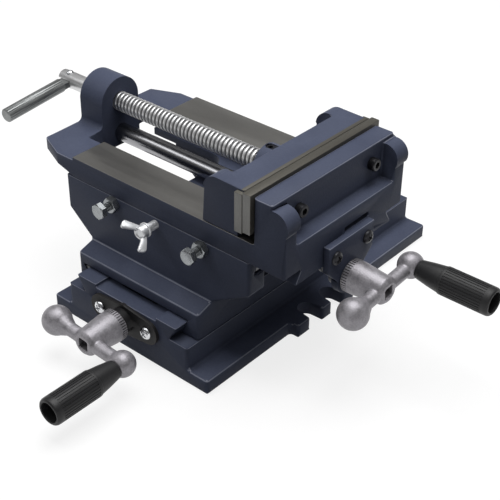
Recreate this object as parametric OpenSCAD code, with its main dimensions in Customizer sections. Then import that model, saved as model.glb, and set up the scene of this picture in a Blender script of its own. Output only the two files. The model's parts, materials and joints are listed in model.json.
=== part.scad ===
/* [Base] */
// Length of the base along the lower slide
base_len = 248; // [225:1:280]
// Width of the base across its two flanges
base_w = 145; // [140:1:170]
// Thickness of the two flanges
flange_t = 10; // [7:0.5:14]
// Width of the block between the flanges, and of the saddle's foot on it
block_w = 111; // [108:1:120]
// Height of the two shoulders that carry the saddle
shoulder_z = 27.5; // [25:0.5:32]
// Width of the trough that the lower feed screw lies in
trough_w = 34; // [31:1:44]
// Height of the trough's floor
trough_floor = 8; // [5:0.5:9]
// Thickness of the wall at each end of the trough
end_wall = 14; // [12:1:20]

/* [Hold-down slots] */
// How far the slotted lugs stand out past the flange
lug_reach = 7; // [4:0.5:12]
// Width of the lugs' outer fingers
lug_w = 13.5; // [9:0.5:18]
// Width of one open slot
slot_w = 13; // [10:0.5:14]
// Distance between the two slots of a side
slot_pitch = 24.2; // [22:0.2:34]
// Depth of a slot from the tip of the lug
slot_depth = 15.5; // [13:0.5:17]
// Place of the slots along the base
lug_y = -8; // [-20:1:20]

/* [Dovetails] */
// Width of the base's dovetail at its root
base_dove_w = 79; // [74:1:82]
// Height of the base's dovetail
base_dove_h = 11.3; // [9:0.1:13]
// Width of the hollow between the base's two rails
relief_w = 56; // [46:1:60]
// Depth of that hollow
relief_d = 2.5; // [1:0.5:4]
// Width of the vise body's dovetail at its root
body_dove_w = 87; // [82:1:90]
// Depth of the vise body's dovetail
body_dove_h = 9.5; // [8.5:0.1:10.5]
// Lean of the dovetail flanks from the upright
flank_lean = 30; // [27:1:32]
// Width of a gib strip
gib_w = 4; // [3:0.5:5]
// Running clearance of each dovetail flank
slide_clear = 0.15; // [0.1:0.05:0.3]
// Clearance past the crest of each dovetail
crest_gap = 1.6; // [1:0.1:2.2]

/* [Saddle] */
// Length of the saddle's upper walls along the upper slide
saddle_len = 163; // [150:1:180]
// How far the upper walls stand ahead of the foot's centre
saddle_shift = 4.5; // [0:0.5:10]
// Length of the saddle's foot along the lower slide
foot_len = 147; // [142:1:165]
// Height of the saddle's top from the table
saddle_top = 95; // [93:0.5:104]
// Height of the waist above the foot
waist_z = 52; // [51:0.5:54]
// Fall of the foot's sloped shoulders
shoulder_fall = 4; // [1:0.5:8]
// Height at which the ends begin to slope in to the foot
slant_z = 70; // [64:0.5:76]
// Width of the channel between the upper walls
channel_w = 88; // [80:1:92]
// Height of the channel's floor
channel_floor = 50; // [48:0.5:51]
// Where the saddle stands along the base
saddle_y = -40; // [-50:1:50]

/* [Vise body] */
// Width of the vise body, of the jaws and of the saddle's upper walls
body_w = 121; // [119:1:130]
// Height of the painted rails above the saddle
rail_h = 13.5; // [12:0.5:18]
// Height of the ground way pads above the painted rails
pad_h = 2; // [1:0.5:3]
// Distance of the way pads' rear end from the screw arch
pad_start = 16; // [8:1:30]
// Width of the slot between the two ways
way_gap = 63; // [58:1:68]
// Width of the undercut for the keeper strips
keeper_gap = 75; // [72:1:78]
// Height of the ways' lower face over the floor of the undercut
keeper_h = 7.7; // [7:0.1:9]
// Thickness of the floor of the vise body
floor_t = 5.5; // [4.5:0.5:6.5]
// How far the drop-through opening runs ahead of the screw arch
opening_len = 72; // [50:1:90]
// Radius of the front corners of that opening
opening_r = 14; // [6:1:24]
// Thickness of the screw arch along the screw
arch_t = 22; // [18:1:30]
// Radius of the screw arch
arch_r = 17.5; // [15:0.5:21]
// Thickness of the rear end of the body
rear_t = 9; // [6:0.5:11]
// Length of the cut-off rear corners
corner_x = 22.5; // [14:0.5:30]
// Width of the cut-off rear corners
corner_y = 9.5; // [4:0.5:16]

/* [Jaws] */
// Length of a jaw plate
jaw_w = 127; // [122:1:140]
// Height of a jaw plate
jaw_h = 27; // [24:0.5:28]
// Thickness of a jaw plate
jaw_t = 6; // [5:0.5:8]
// Gap between the closed jaws
jaw_gap = 0.4; // [0.2:0.1:2]
// Place of the closed jaws ahead of the base's centre
jaw_x = 83; // [76:1:90]
// Opening of the jaws
jaw_open = 120; // [100:1:130]
// Height of the jaws above the ways
jaw_rise = 34.5; // [33:0.5:40]
// Thickness of the walls behind the jaw plates
jaw_wall = 14; // [12:0.5:17]
// Depth of the fixed jaw's foot
fixed_d = 24; // [22:0.5:30]
// Height of the ledge on the fixed jaw's front above the ways
ledge_rise = 4.5; // [2:0.5:8]
// How far the fixed jaw's top lies below its plate
fixed_drop = 2.5; // [1:0.5:4]
// Depth of the movable jaw
mov_d = 28.8; // [26:0.2:36]
// Thickness of the lip over the movable jaw's plate
lip_t = 1.5; // [1:0.5:3]
// Width of the end ribs on both jaws
rib_w = 12; // [9:0.5:16]
// Radius of the fixed jaw's rounded ribs
fixed_rib_r = 9.5; // [8:0.5:11]
// Radius of the movable jaw's rounded ribs
mov_rib_r = 10.5; // [8:0.5:12]
// Radius of the boss round the clamp screw's nose
nose_boss_r = 14; // [12:0.5:17]

/* [Clamp screw and guide rod] */
// Diameter of the clamp screw
clamp_d = 14; // [12:0.5:16]
// Height of the clamp screw above the ways
clamp_rise = 14; // [13:0.5:17]
// Diameter of the guide rod
rod_d = 13; // [10:0.5:14]
// Distance of the guide rod below the clamp screw
rod_drop = 24.2; // [23.5:0.1:25]
// Diameter of the clamp screw's plain head
head_d = 12; // [11:0.5:14]
// Length of that head behind the screw arch
head_len = 37; // [30:0.5:50]
// Diameter of the clamp handle's bar
bar_d = 10; // [8:0.5:11]
// Reach of the clamp handle from the screw's axis
bar_reach = 61; // [40:1:90]
// Droop of the clamp handle at rest
bar_droop = 6; // [0:1:20]

/* [Feed screws and cranks] */
// Diameter of the feed screws
feed_d = 13; // [11:0.5:14]
// Height of the lower feed screw
lower_feed_z = 25; // [23:0.5:27]
// Depth of the upper feed screw below the saddle's top
feed_drop = 24; // [23:0.5:26]
// Length of the upper feed screw behind its bearing plate
upper_feed_len = 188; // [150:1:200]
// Length of the lower feed screw behind its bearing plate
lower_feed_len = 219; // [180:1:230]
// Diameter of the journals that turn in the bearing plates
journal_d = 12; // [10:0.5:13]
// Width of the square that drives each crank
drive_w = 7.6; // [6:0.2:8.4]
// Thickness of the upper bearing plate
plate_t = 5; // [4:0.5:8]
// Thickness of the lower bearing plate
lower_plate_t = 2.5; // [2:0.5:4]
// Length of a crank's hub
hub_len = 29.5; // [24:0.5:36]
// Radius of a hub at its graduated end
hub_r = 11.2; // [10.5:0.1:13]
// Radius of a hub at its outer end
hub_end_r = 9.3; // [8.5:0.1:10.5]
// Radius of a crank's arms
arm_r = 4.8; // [3.5:0.1:5.4]
// Distance of the handle ball from the crank's axis
ball_reach = 31; // [26:0.5:44]
// Radius of the handle ball
ball_r = 8.9; // [8.5:0.1:11]
// Distance of the counterweight from the crank's axis
weight_reach = 30; // [25:0.5:44]
// Radius of the counterweight
weight_r = 10.3; // [8:0.1:12]
// Length of a grip
grip_len = 54; // [44:1:70]
// Radius of a grip
grip_r = 9.5; // [8.5:0.1:11]
// Radius of a grip's slim end
grip_neck_r = 6.5; // [5.5:0.1:7]
// Length of a grip's tapered end
grip_taper = 18.5; // [12:0.5:24]
// Turn of the upper crank at rest
upper_turn = 4; // [-180:1:180]
// Turn of the lower crank at rest
lower_turn = 3.5; // [-180:0.5:180]

/* [Fasteners] */
// Diameter of the gib bolts, the wing bolt and the plate screws
bolt_d = 6; // [5:0.5:7]
// Width across the flats of the hex heads and nuts
hex_af = 10; // [9:0.5:12]
// Distance between a slide's two gib bolts
gib_pitch = 79; // [60:1:90]
// Diameter of the jaw plate screws
jaw_screw_d = 5; // [4:0.5:6]
// Distance between the two screws of a jaw plate
jaw_screw_pitch = 73; // [66:1:76]
// Radius of the wing bolt's wings
wing_r = 12; // [10:0.5:16]
// Turn of the wing bolt at rest
wing_turn = -39; // [-90:1:90]
// Radial clearance of turning and sliding round pieces
run_fit = 0.06; // [0.02:0.01:0.1]
// Radial clearance of pieces that are fixed in place
seat_fit = 0.1; // [0.05:0.05:0.2]

/* [Hidden] */
$fn = 64;

// Overlap that makes a cut or a join run through a face
over = 1;
lean = tan(flank_lean);

// Heights of the base and the saddle
crest_z = shoulder_z + base_dove_h;
ceiling_z = crest_z + crest_gap;
body_dove_z = saddle_top - body_dove_h;
undercut_z = body_dove_z - crest_gap;
feed_z = saddle_top - feed_drop;

// Places along the upper slide, measured from the base's centre
fixed_face = jaw_x + jaw_gap / 2 + jaw_t;
mov_face = jaw_x - jaw_gap / 2 - jaw_t;
body_front = fixed_face + fixed_d;
fixed_wall = fixed_face + jaw_wall;
mov_wall = mov_face - jaw_wall;
mov_rear = mov_face - mov_d;
stop_gap = 13;
arch_face = mov_rear - jaw_open - stop_gap;
body_rear = arch_face - arch_t;
pad_rear = arch_face + pad_start;
saddle_rear = saddle_shift - saddle_len / 2;
saddle_front = saddle_shift + saddle_len / 2;

// Heights of the vise body and the jaws
rail_z = saddle_top + rail_h;
way_z = rail_z + pad_h;
floor_z = body_dove_z + floor_t;
keeper_z = floor_z + keeper_h;
jaw_top = way_z + jaw_rise;
fixed_top = jaw_top - fixed_drop;
ledge_z = way_z + ledge_rise;
clamp_z = way_z + clamp_rise;
rod_z = clamp_z - rod_drop;
jaw_foot_z = way_z + slide_clear;
jaw_screw_z = jaw_top - lip_t - jaw_h / 2;

// Parts of the feed screws
collar_r = 10;
collar_t = 5;
collar_gap = 0.2;
bore_clear = 0.4;
lower_boss_t = 6;
hub_gap = 0.4;
nut_w = 26;
nut_len = 28;
nut_wall = 11;
nut_x = 34;
nut_screw_pitch = 16;
nut_screw_d = 5;

// Heads of the small screws
cap_head = 0.85;
pan_head = 0.75;
pan_h = 3;
hex_head_h = 4;
locknut_h = 5;
bolt_gap = 6;

// A right half outline and its mirror image as one closed outline
function both_halves(half) =
    concat(half, [for (i = [len(half) - 1:-1:0]) [-half[i][0], half[i][1]]]);

// Half widths of the two dovetails at a height
function base_flank(z) = base_dove_w / 2 + (z - shoulder_z) * lean;
function body_flank(z) = body_dove_w / 2 + (saddle_top - z) * lean;

// Extrudes an outline of y and z between two places on x
module along_x(x0, x1) {
    translate([x0, 0, 0]) rotate([90, 0, 90]) linear_extrude(x1 - x0) children();
}

// Extrudes an outline of x and z between two places on y
module along_y(y0, y1) {
    translate([0, y1, 0]) rotate([90, 0, 0]) linear_extrude(y1 - y0) children();
}

// A round bar along x, and one along y
module round_x(x0, x1, r) {
    translate([x0, 0, 0]) rotate([0, 90, 0]) cylinder(h = x1 - x0, r = r);
}
module round_y(y0, y1, r) {
    translate([0, y1, 0]) rotate([90, 0, 0]) cylinder(h = y1 - y0, r = r);
}

// A block between two opposite corners
module block(a, b) {
    translate(a) cube(b - a);
}

// Moves what rides on the saddle to where the saddle stands
module on_saddle() {
    translate([0, saddle_y, 0]) children();
}

// A hexagon of a given width across its flats
module hexagon(af) {
    circle(d = af / cos(30), $fn = 6);
}

// Socket head screw: its seat is at the origin and its shank points down
module cap_screw(d, len) {
    socket_af = d * 0.8;
    socket_depth = d * 0.5;
    difference() {
        union() {
            cylinder(h = d, r = d * cap_head);
            translate([0, 0, -len]) cylinder(h = len + over, d = d);
        }
        translate([0, 0, d - socket_depth]) linear_extrude(d) hexagon(socket_af);
    }
}

// Pan head screw with a domed head
module pan_screw(d, len) {
    head_r = d * pan_head;
    rim_h = pan_h * 0.4;
    dome_h = pan_h - rim_h;
    dome_r = (head_r * head_r + dome_h * dome_h) / (2 * dome_h);
    cylinder(h = rim_h, r = head_r);
    intersection() {
        translate([0, 0, pan_h - dome_r]) sphere(r = dome_r);
        cylinder(h = pan_h + over, r = head_r);
    }
    translate([0, 0, -len]) cylinder(h = len + over, d = d);
}

// Hex bolt with its head clear of the wall and its tip at a depth behind the wall
module gib_bolt(depth) {
    head_z = locknut_h + bolt_gap;
    translate([0, 0, head_z]) linear_extrude(hex_head_h) hexagon(hex_af);
    translate([0, 0, -depth]) cylinder(h = depth + head_z + over, d = bolt_d);
}

// Locknut that stands on the wall
module locknut() {
    linear_extrude(locknut_h) difference() {
        hexagon(hex_af);
        circle(r = bolt_d / 2 + seat_fit);
    }
}

// Base

// Lower half of the lower slide: two flanges, a block and a male dovetail
module base_outline() {
    polygon(both_halves([
        [base_w / 2, 0],
        [base_w / 2, flange_t],
        [block_w / 2, flange_t],
        [block_w / 2, shoulder_z],
        [base_flank(shoulder_z), shoulder_z],
        [base_flank(crest_z), crest_z],
        [relief_w / 2, crest_z],
        [relief_w / 2, crest_z - relief_d]
    ]));
}

// One open slot for a hold-down bolt
module hold_down_slot() {
    slot_x = base_w / 2 + lug_reach - slot_depth + slot_w / 2;
    translate([slot_x, 0, -over]) cylinder(h = flange_t + 2 * over, d = slot_w);
    block([slot_x, -slot_w / 2, -over], [base_w / 2 + lug_reach + over, slot_w / 2, flange_t + over]);
}

lower_plate_pitch = 43;
plate_screw_depth = 11;

module base_casting() {
    lug_len = slot_pitch + slot_w + 2 * lug_w;
    near = -base_len / 2;
    color("#3a3f4c") difference() {
        union() {
            along_y(near, -near) base_outline();
            for (side = [-1, 1])
                scale([side, 1, 1])
                    block([block_w / 2, lug_y - lug_len / 2, 0],
                          [base_w / 2 + lug_reach, lug_y + lug_len / 2, flange_t]);
        }
        for (side = [0, 180], end = [-1, 1])
            rotate([0, 0, side])
                translate([0, (side == 0 ? 1 : -1) * lug_y + end * slot_pitch / 2, 0]) hold_down_slot();
        block([-trough_w / 2, near + end_wall, trough_floor],
              [trough_w / 2, -near - end_wall, crest_z + over]);
        translate([0, 0, lower_feed_z]) {
            round_y(near - over, near + end_wall + over, feed_d / 2 + bore_clear);
            round_y(near - over, near + collar_t + 2 * collar_gap, collar_r + bore_clear);
            for (side = [-1, 1])
                translate([side * lower_plate_pitch / 2, 0, 0])
                    round_y(near - over, near + plate_screw_depth + over, bolt_d / 2 + seat_fit);
        }
    }
}

// Oval plate on the base's near end: the lower feed screw turns in it
module lower_bearing_plate() {
    waist_r = 12;
    eye_r = 9;
    boss_r = 9;
    face = -base_len / 2;
    color("#1c1d20") translate([0, 0, lower_feed_z]) difference() {
        union() {
            along_y(face - lower_plate_t, face) {
                circle(r = waist_r);
                for (side = [-1, 1]) {
                    translate([side * lower_plate_pitch / 2, 0]) circle(r = eye_r);
                    oval_web(side * lower_plate_pitch / 2, waist_r, eye_r);
                }
            }
            round_y(face - lower_plate_t - lower_boss_t, face - lower_plate_t + over, boss_r);
        }
        round_y(face - lower_plate_t - lower_boss_t - over, face + over, journal_d / 2 + run_fit);
        for (side = [-1, 1])
            translate([side * lower_plate_pitch / 2, 0, 0])
                round_y(face - lower_plate_t - over, face + over, bolt_d / 2 + seat_fit);
    }
}

// The straight-sided web of the oval plate: it touches both circles
module oval_web(reach, r_in, r_out) {
    tilt = asin((r_in - r_out) / abs(reach));
    dir = sign(reach);
    polygon([
        [dir * r_in * sin(tilt), r_in * cos(tilt)],
        [reach + dir * r_out * sin(tilt), r_out * cos(tilt)],
        [reach + dir * r_out * sin(tilt), -r_out * cos(tilt)],
        [dir * r_in * sin(tilt), -r_in * cos(tilt)]
    ]);
}

module lower_plate_screws() {
    color("#d8dade") for (side = [-1, 1])
        translate([side * lower_plate_pitch / 2, -base_len / 2 - lower_plate_t, lower_feed_z])
            rotate([90, 0, 0]) pan_screw(bolt_d, lower_plate_t + plate_screw_depth);
}

// Saddle

gib_end = 1;
gib_play = 0.2;
lower_bolt_z = shoulder_z + base_dove_h / 2;
upper_bolt_z = saddle_top - body_dove_h / 2;
upper_bolt_x = 9;
wing_back = 1.5;
wing_x = upper_bolt_x - wing_back;
dimple = 1;

// Depth from the foot's side, or the upper wall's side, to the tip of a gib bolt
lower_bolt_depth = block_w / 2 - base_flank(lower_bolt_z) - slide_clear - gib_w + dimple;
upper_bolt_depth = body_w / 2 - body_flank(upper_bolt_z) - slide_clear - gib_w + dimple;

// Side view of the upper walls, with ends that slope in to the foot
module saddle_side() {
    polygon([
        [saddle_rear, saddle_top],
        [saddle_rear, slant_z],
        [-block_w / 2, waist_z],
        [block_w / 2, waist_z],
        [saddle_front, slant_z],
        [saddle_front, saddle_top]
    ]);
}

// End view of the foot, with its two sloped shoulders
module saddle_foot() {
    polygon(both_halves([
        [foot_len / 2, shoulder_z],
        [foot_len / 2, waist_z - shoulder_fall],
        [body_w / 2, waist_z],
        [body_w / 2 - over, waist_z + over]
    ]));
}

// Female dovetail of the foot: the gib takes up the left side
module lower_dovetail_cut() {
    low = shoulder_z - over;
    polygon([
        [base_flank(low) + slide_clear, low],
        [base_flank(ceiling_z) + slide_clear, ceiling_z],
        [-base_flank(ceiling_z) - slide_clear - gib_w, ceiling_z],
        [-base_flank(low) - slide_clear - gib_w, low]
    ]);
}

// Female dovetail between the upper walls: the gib takes up the near side
module upper_dovetail_cut() {
    high = saddle_top + over;
    polygon([
        [body_flank(high) + slide_clear, high],
        [body_flank(undercut_z) + slide_clear, undercut_z],
        [-body_flank(undercut_z) - slide_clear - gib_w, undercut_z],
        [-body_flank(high) - slide_clear - gib_w, high]
    ]);
}

// The channel's floor falls away to both ends
module floor_fall() {
    fall_x = 40;
    fall_z = 6;
    for (side = [-1, 1])
        polygon([
            [side * fall_x, channel_floor],
            [side * (block_w / 2 + over), channel_floor - fall_z],
            [side * (block_w / 2 + over), waist_z],
            [side * fall_x, waist_z]
        ]);
}

module saddle_casting() {
    color("#3a3f4c") on_saddle() difference() {
        union() {
            along_y(-body_w / 2, body_w / 2) saddle_side();
            along_x(-block_w / 2, block_w / 2) saddle_foot();
        }
        along_y(-foot_len / 2 - over, foot_len / 2 + over) lower_dovetail_cut();
        along_x(saddle_rear - over, saddle_front + over) upper_dovetail_cut();
        block([saddle_rear - over, -channel_w / 2, channel_floor],
              [saddle_front + over, channel_w / 2, saddle_top + over]);
        along_y(-channel_w / 2, channel_w / 2) floor_fall();
        for (end = [-1, 1])
            translate([0, end * gib_pitch / 2, lower_bolt_z])
                round_x(-block_w / 2 - over, 0, bolt_d / 2 + seat_fit);
        for (x = [upper_bolt_x - gib_pitch / 2, wing_x, upper_bolt_x + gib_pitch / 2])
            translate([x, 0, upper_bolt_z])
                round_y(-body_w / 2 - over, 0, bolt_d / 2 + seat_fit);
        upper_nut_screw_places() nut_screw_hole(ceiling_z, channel_floor, false);
        lower_nut_screw_places() nut_screw_hole(ceiling_z, channel_floor, true);
    }
}

// A strip between two parallel flanks, with dimples for the bolts' tips
module lower_gib() {
    color("#8d8f92") on_saddle() difference() {
        along_y(-foot_len / 2 + gib_end, foot_len / 2 - gib_end)
            polygon([
                [-base_flank(shoulder_z + gib_play) - slide_clear, shoulder_z + gib_play],
                [-base_flank(crest_z) - slide_clear, crest_z],
                [-base_flank(crest_z) - slide_clear - gib_w + gib_play, crest_z],
                [-base_flank(shoulder_z + gib_play) - slide_clear - gib_w + gib_play, shoulder_z + gib_play]
            ]);
        for (end = [-1, 1])
            translate([0, end * gib_pitch / 2, lower_bolt_z])
                round_x(-block_w / 2, -block_w / 2 + lower_bolt_depth + gib_play, bolt_d / 2 + seat_fit);
    }
}

module lower_gib_bolts() {
    color("#c9ccd0") on_saddle() for (end = [-1, 1])
        translate([-block_w / 2, end * gib_pitch / 2, lower_bolt_z])
            rotate([0, -90, 0]) gib_bolt(lower_bolt_depth);
}

module lower_gib_locknuts() {
    color("#c9ccd0") on_saddle() for (end = [-1, 1])
        translate([-block_w / 2, end * gib_pitch / 2, lower_bolt_z])
            rotate([0, -90, 0]) locknut();
}

module upper_gib() {
    color("#8d8f92") on_saddle() difference() {
        along_x(saddle_rear + gib_end, saddle_front - gib_end)
            polygon([
                [-body_flank(saddle_top - gib_play) - slide_clear, saddle_top - gib_play],
                [-body_flank(body_dove_z) - slide_clear, body_dove_z],
                [-body_flank(body_dove_z) - slide_clear - gib_w + gib_play, body_dove_z],
                [-body_flank(saddle_top - gib_play) - slide_clear - gib_w + gib_play, saddle_top - gib_play]
            ]);
        for (x = [upper_bolt_x - gib_pitch / 2, wing_x, upper_bolt_x + gib_pitch / 2])
            translate([x, 0, upper_bolt_z])
                round_y(-body_w / 2, -body_w / 2 + upper_bolt_depth + gib_play, bolt_d / 2 + seat_fit);
    }
}

module upper_gib_bolts() {
    color("#c9ccd0") on_saddle() for (end = [-1, 1])
        translate([upper_bolt_x + end * gib_pitch / 2, -body_w / 2, upper_bolt_z])
            rotate([90, 0, 0]) gib_bolt(upper_bolt_depth);
}

module upper_gib_locknuts() {
    color("#c9ccd0") on_saddle() for (end = [-1, 1])
        translate([upper_bolt_x + end * gib_pitch / 2, -body_w / 2, upper_bolt_z])
            rotate([90, 0, 0]) locknut();
}

// Screws that hold the two feed nuts to the floor of the channel
nut_thread = 9;
head_play = 0.4;
head_sink = nut_screw_d + head_play;

module upper_nut_screw_places() {
    for (end = [-1, 1]) translate([nut_x + end * nut_screw_pitch / 2, 0, 0]) children();
}

module lower_nut_screw_places() {
    for (end = [-1, 1]) translate([0, end * nut_screw_pitch / 2, 0]) children();
}

// A screw hole through the floor, with its head sunk from below where the head is below
module nut_screw_hole(z0, z1, head_above) {
    translate([0, 0, z0 - over])
        cylinder(h = z1 - z0 + 2 * over, r = nut_screw_d / 2 + seat_fit);
    if (!head_above)
        translate([0, 0, z0 - over])
            cylinder(h = head_sink + over, r = nut_screw_d * cap_head + seat_fit);
}

// Bronze nut under the floor: the lower feed screw draws the saddle by it
module lower_feed_nut() {
    color("#a9853f") on_saddle() difference() {
        block([-nut_w / 2, -nut_len / 2, lower_feed_z - nut_wall], [nut_w / 2, nut_len / 2, ceiling_z]);
        translate([0, 0, lower_feed_z])
            round_y(-nut_len / 2 - over, nut_len / 2 + over, feed_d / 2 + run_fit);
        lower_nut_screw_places()
            translate([0, 0, ceiling_z - nut_thread + over])
                cylinder(h = nut_thread, r = nut_screw_d / 2 + seat_fit);
    }
}

module lower_nut_screws() {
    color("#3b3c3f") on_saddle() lower_nut_screw_places()
        translate([0, 0, channel_floor])
            cap_screw(nut_screw_d, channel_floor - ceiling_z + nut_thread - 2 * over);
}

// Bronze nut on the floor: the upper feed screw draws the vise body by it
module upper_feed_nut() {
    color("#a9853f") on_saddle() difference() {
        block([nut_x - nut_len / 2, -nut_w / 2, channel_floor],
              [nut_x + nut_len / 2, nut_w / 2, feed_z + nut_wall]);
        translate([0, 0, feed_z])
            round_x(nut_x - nut_len / 2 - over, nut_x + nut_len / 2 + over, feed_d / 2 + run_fit);
        upper_nut_screw_places()
            translate([0, 0, channel_floor - over])
                cylinder(h = nut_thread, r = nut_screw_d / 2 + seat_fit);
    }
}

module upper_nut_screws() {
    seat_z = ceiling_z + head_sink;
    color("#3b3c3f") on_saddle() upper_nut_screw_places()
        translate([0, 0, seat_z]) rotate([180, 0, 0])
            cap_screw(nut_screw_d, channel_floor - seat_z + nut_thread - 2 * over);
}

// Vise body

rear_rise_x = 16;
slot_wide = 25;
slot_high = 3.5;
slot_deep = 3;
slot_side = 10.5;
foot_fillet = 4;
rod_wall = 3.5;
upper_plate_w = 46;
upper_plate_h = 19;
upper_plate_pitch = 32;
upper_plate_rise = 6;
upper_plate_top = saddle_top + upper_plate_rise;
upper_plate_low = upper_plate_top - upper_plate_h;
upper_screw_z = upper_plate_top - upper_plate_h / 2;
upper_boss_r = 13;

// Plan of the body, with its rear corners cut off
module body_plan() {
    polygon([
        [body_rear, -body_w / 2 + corner_y],
        [body_rear + corner_x, -body_w / 2],
        [body_front, -body_w / 2],
        [body_front, body_w / 2],
        [body_rear + corner_x, body_w / 2],
        [body_rear, body_w / 2 - corner_y]
    ]);
}

// Side view of the rails, thinner towards the rear end
module body_side() {
    polygon([
        [body_rear, rail_z],
        [body_rear, rail_z - rear_t],
        [body_rear + corner_x, rail_z - rear_t],
        [body_rear + corner_x + rear_rise_x, saddle_top],
        [body_front, saddle_top],
        [body_front, rail_z]
    ]);
}

// Male dovetail of the body
module body_dovetail() {
    high = saddle_top + over;
    polygon(both_halves([
        [body_flank(body_dove_z), body_dove_z],
        [body_flank(saddle_top), saddle_top],
        [body_flank(saddle_top), high]
    ]));
}

// End view of the arch that the clamp screw is threaded through
module arch_outline() {
    low = rod_z - rod_d / 2 - rod_wall;
    translate([0, clamp_z]) circle(r = arch_r);
    translate([-arch_r, low]) square([2 * arch_r, clamp_z - low]);
    for (side = [-1, 1])
        translate([side * (arch_r + foot_fillet), rail_z + foot_fillet])
            difference() {
                translate([side > 0 ? -foot_fillet - over : 0, -foot_fillet - over])
                    square([foot_fillet + over, foot_fillet + over]);
                circle(r = foot_fillet);
            }
}

// Side view of the fixed jaw: its wall and its foot below the ledge
module fixed_jaw_side() {
    polygon([
        [fixed_face, rail_z - over],
        [fixed_face, fixed_top],
        [fixed_wall, fixed_top],
        [fixed_wall, ledge_z],
        [body_front, ledge_z],
        [body_front, rail_z - over]
    ]);
}

// Side view of one rounded rib at the end of the fixed jaw
module fixed_rib_side() {
    bulge = 1.8;
    rib_drop = 3;
    rib_x = body_front + bulge - fixed_rib_r;
    rib_z = fixed_top - fixed_rib_r - rib_drop;
    translate([rib_x, rib_z]) circle(r = fixed_rib_r);
    translate([fixed_wall - over, rail_z]) square([body_front - fixed_wall + over, rib_z - rail_z]);
}

// Front end of the drop-through opening, with two round corners
module opening_plan() {
    front = arch_face + opening_len;
    half = way_gap / 2;
    translate([arch_face, -half]) square([opening_len - opening_r, way_gap]);
    translate([arch_face, -half + opening_r]) square([opening_len, way_gap - 2 * opening_r]);
    for (side = [-1, 1]) translate([front - opening_r, side * (half - opening_r)]) circle(r = opening_r);
}

module vise_body() {
    color("#3f4452") on_saddle() difference() {
        union() {
            intersection() {
                linear_extrude(jaw_top) body_plan();
                along_y(-body_w, body_w) body_side();
            }
            for (side = [-1, 1])
                translate([0, side * (body_w + way_gap) / 4, 0])
                    block([pad_rear, -(body_w - way_gap) / 4, rail_z - over],
                          [fixed_face + over, (body_w - way_gap) / 4, way_z]);
            along_x(arch_face, body_front) body_dovetail();
            along_x(body_rear, arch_face) arch_outline();
            along_y(-body_w / 2, body_w / 2) fixed_jaw_side();
            for (side = [-1, 1])
                translate([0, side * (body_w - rib_w) / 2, 0])
                    along_y(-rib_w / 2, rib_w / 2) fixed_rib_side();
        }
        block([arch_face, -way_gap / 2, floor_z], [fixed_face, way_gap / 2, way_z + over]);
        block([arch_face, -keeper_gap / 2, floor_z], [fixed_face, keeper_gap / 2, keeper_z]);
        translate([0, 0, body_dove_z - over]) linear_extrude(floor_t + 2 * over) opening_plan();
        translate([0, 0, clamp_z]) round_x(body_rear - over, arch_face + over, clamp_d / 2 + run_fit);
        translate([0, 0, rod_z]) round_x(body_rear - over, arch_face + over, rod_d / 2 + run_fit);
        for (side = [-1, 1]) {
            translate([0, side * jaw_screw_pitch / 2, jaw_screw_z])
                round_x(fixed_face - over, fixed_wall + over, jaw_screw_d / 2 + seat_fit);
            translate([0, side * upper_plate_pitch / 2, upper_screw_z])
                round_x(body_front - plate_screw_depth - over, body_front + over, bolt_d / 2 + seat_fit);
        }
        block([body_front - slot_deep, slot_side - slot_wide / 2, upper_plate_top],
              [body_front + over, slot_side + slot_wide / 2, upper_plate_top + slot_high]);
    }
}

// Hardened plate of the fixed jaw, drilled for its two screws
plate_hole = 4;

module fixed_jaw_plate() {
    color("#77756c") on_saddle() difference() {
        block([fixed_face - jaw_t, -jaw_w / 2, jaw_top - jaw_h], [fixed_face, jaw_w / 2, jaw_top]);
        for (side = [-1, 1])
            translate([0, side * jaw_screw_pitch / 2, jaw_screw_z])
                round_x(fixed_face - plate_hole, fixed_face + over, jaw_screw_d / 2 + seat_fit);
    }
}

module fixed_jaw_screws() {
    color("#2c2d31") on_saddle() for (side = [-1, 1])
        translate([fixed_wall, side * jaw_screw_pitch / 2, jaw_screw_z])
            rotate([0, 90, 0]) cap_screw(jaw_screw_d, jaw_wall + plate_hole - seat_fit);
}

// Plate on the body's front: the upper feed screw turns in its lower eye
module upper_plate_outline() {
    neck = upper_boss_r * 0.9;
    translate([0, feed_z]) circle(r = upper_boss_r);
    polygon(both_halves([
        [neck, feed_z],
        [upper_plate_w / 2, upper_plate_low],
        [upper_plate_w / 2, upper_plate_top]
    ]));
}

module upper_bearing_plate() {
    color("#363b48") on_saddle() difference() {
        along_x(body_front, body_front + plate_t) upper_plate_outline();
        translate([0, 0, feed_z])
            round_x(body_front - over, body_front + plate_t + over, journal_d / 2 + run_fit);
        for (side = [-1, 1])
            translate([0, side * upper_plate_pitch / 2, upper_screw_z])
                round_x(body_front - over, body_front + plate_t + over, bolt_d / 2 + seat_fit);
    }
}

module upper_plate_screws() {
    color("#2c2d31") on_saddle() for (side = [-1, 1])
        translate([body_front + plate_t, side * upper_plate_pitch / 2, upper_screw_z])
            rotate([0, 90, 0]) pan_screw(bolt_d, plate_t + plate_screw_depth);
}

// Movable jaw

tongue_clear = 0.3;
keeper_t = 6;
keeper_clear = 0.2;
lug_clear = 0.6;
rod_lug_w = 24;
keeper_screw_d = 5;
keeper_head_h = 3;
keeper_pitch = 16;
keeper_in = 4;
retain_in = 3.5;
retain_x = mov_rear + retain_in;
retain_d = 6;
groove_deep = 2;
groove_play = 0.8;
groove_r = clamp_d / 2 - groove_deep;
nose_gap = 2;

// Side view of one rounded rib at the end of the movable jaw
module mov_rib_side() {
    draft = 1.5;
    rib_z = jaw_top - mov_rib_r;
    translate([mov_rear + draft + mov_rib_r, rib_z]) circle(r = mov_rib_r);
    polygon([
        [mov_rear, jaw_foot_z],
        [mov_rear + draft, rib_z],
        [mov_rear + draft + mov_rib_r, jaw_top],
        [mov_wall + over, jaw_top],
        [mov_wall + over, jaw_foot_z]
    ]);
}

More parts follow.
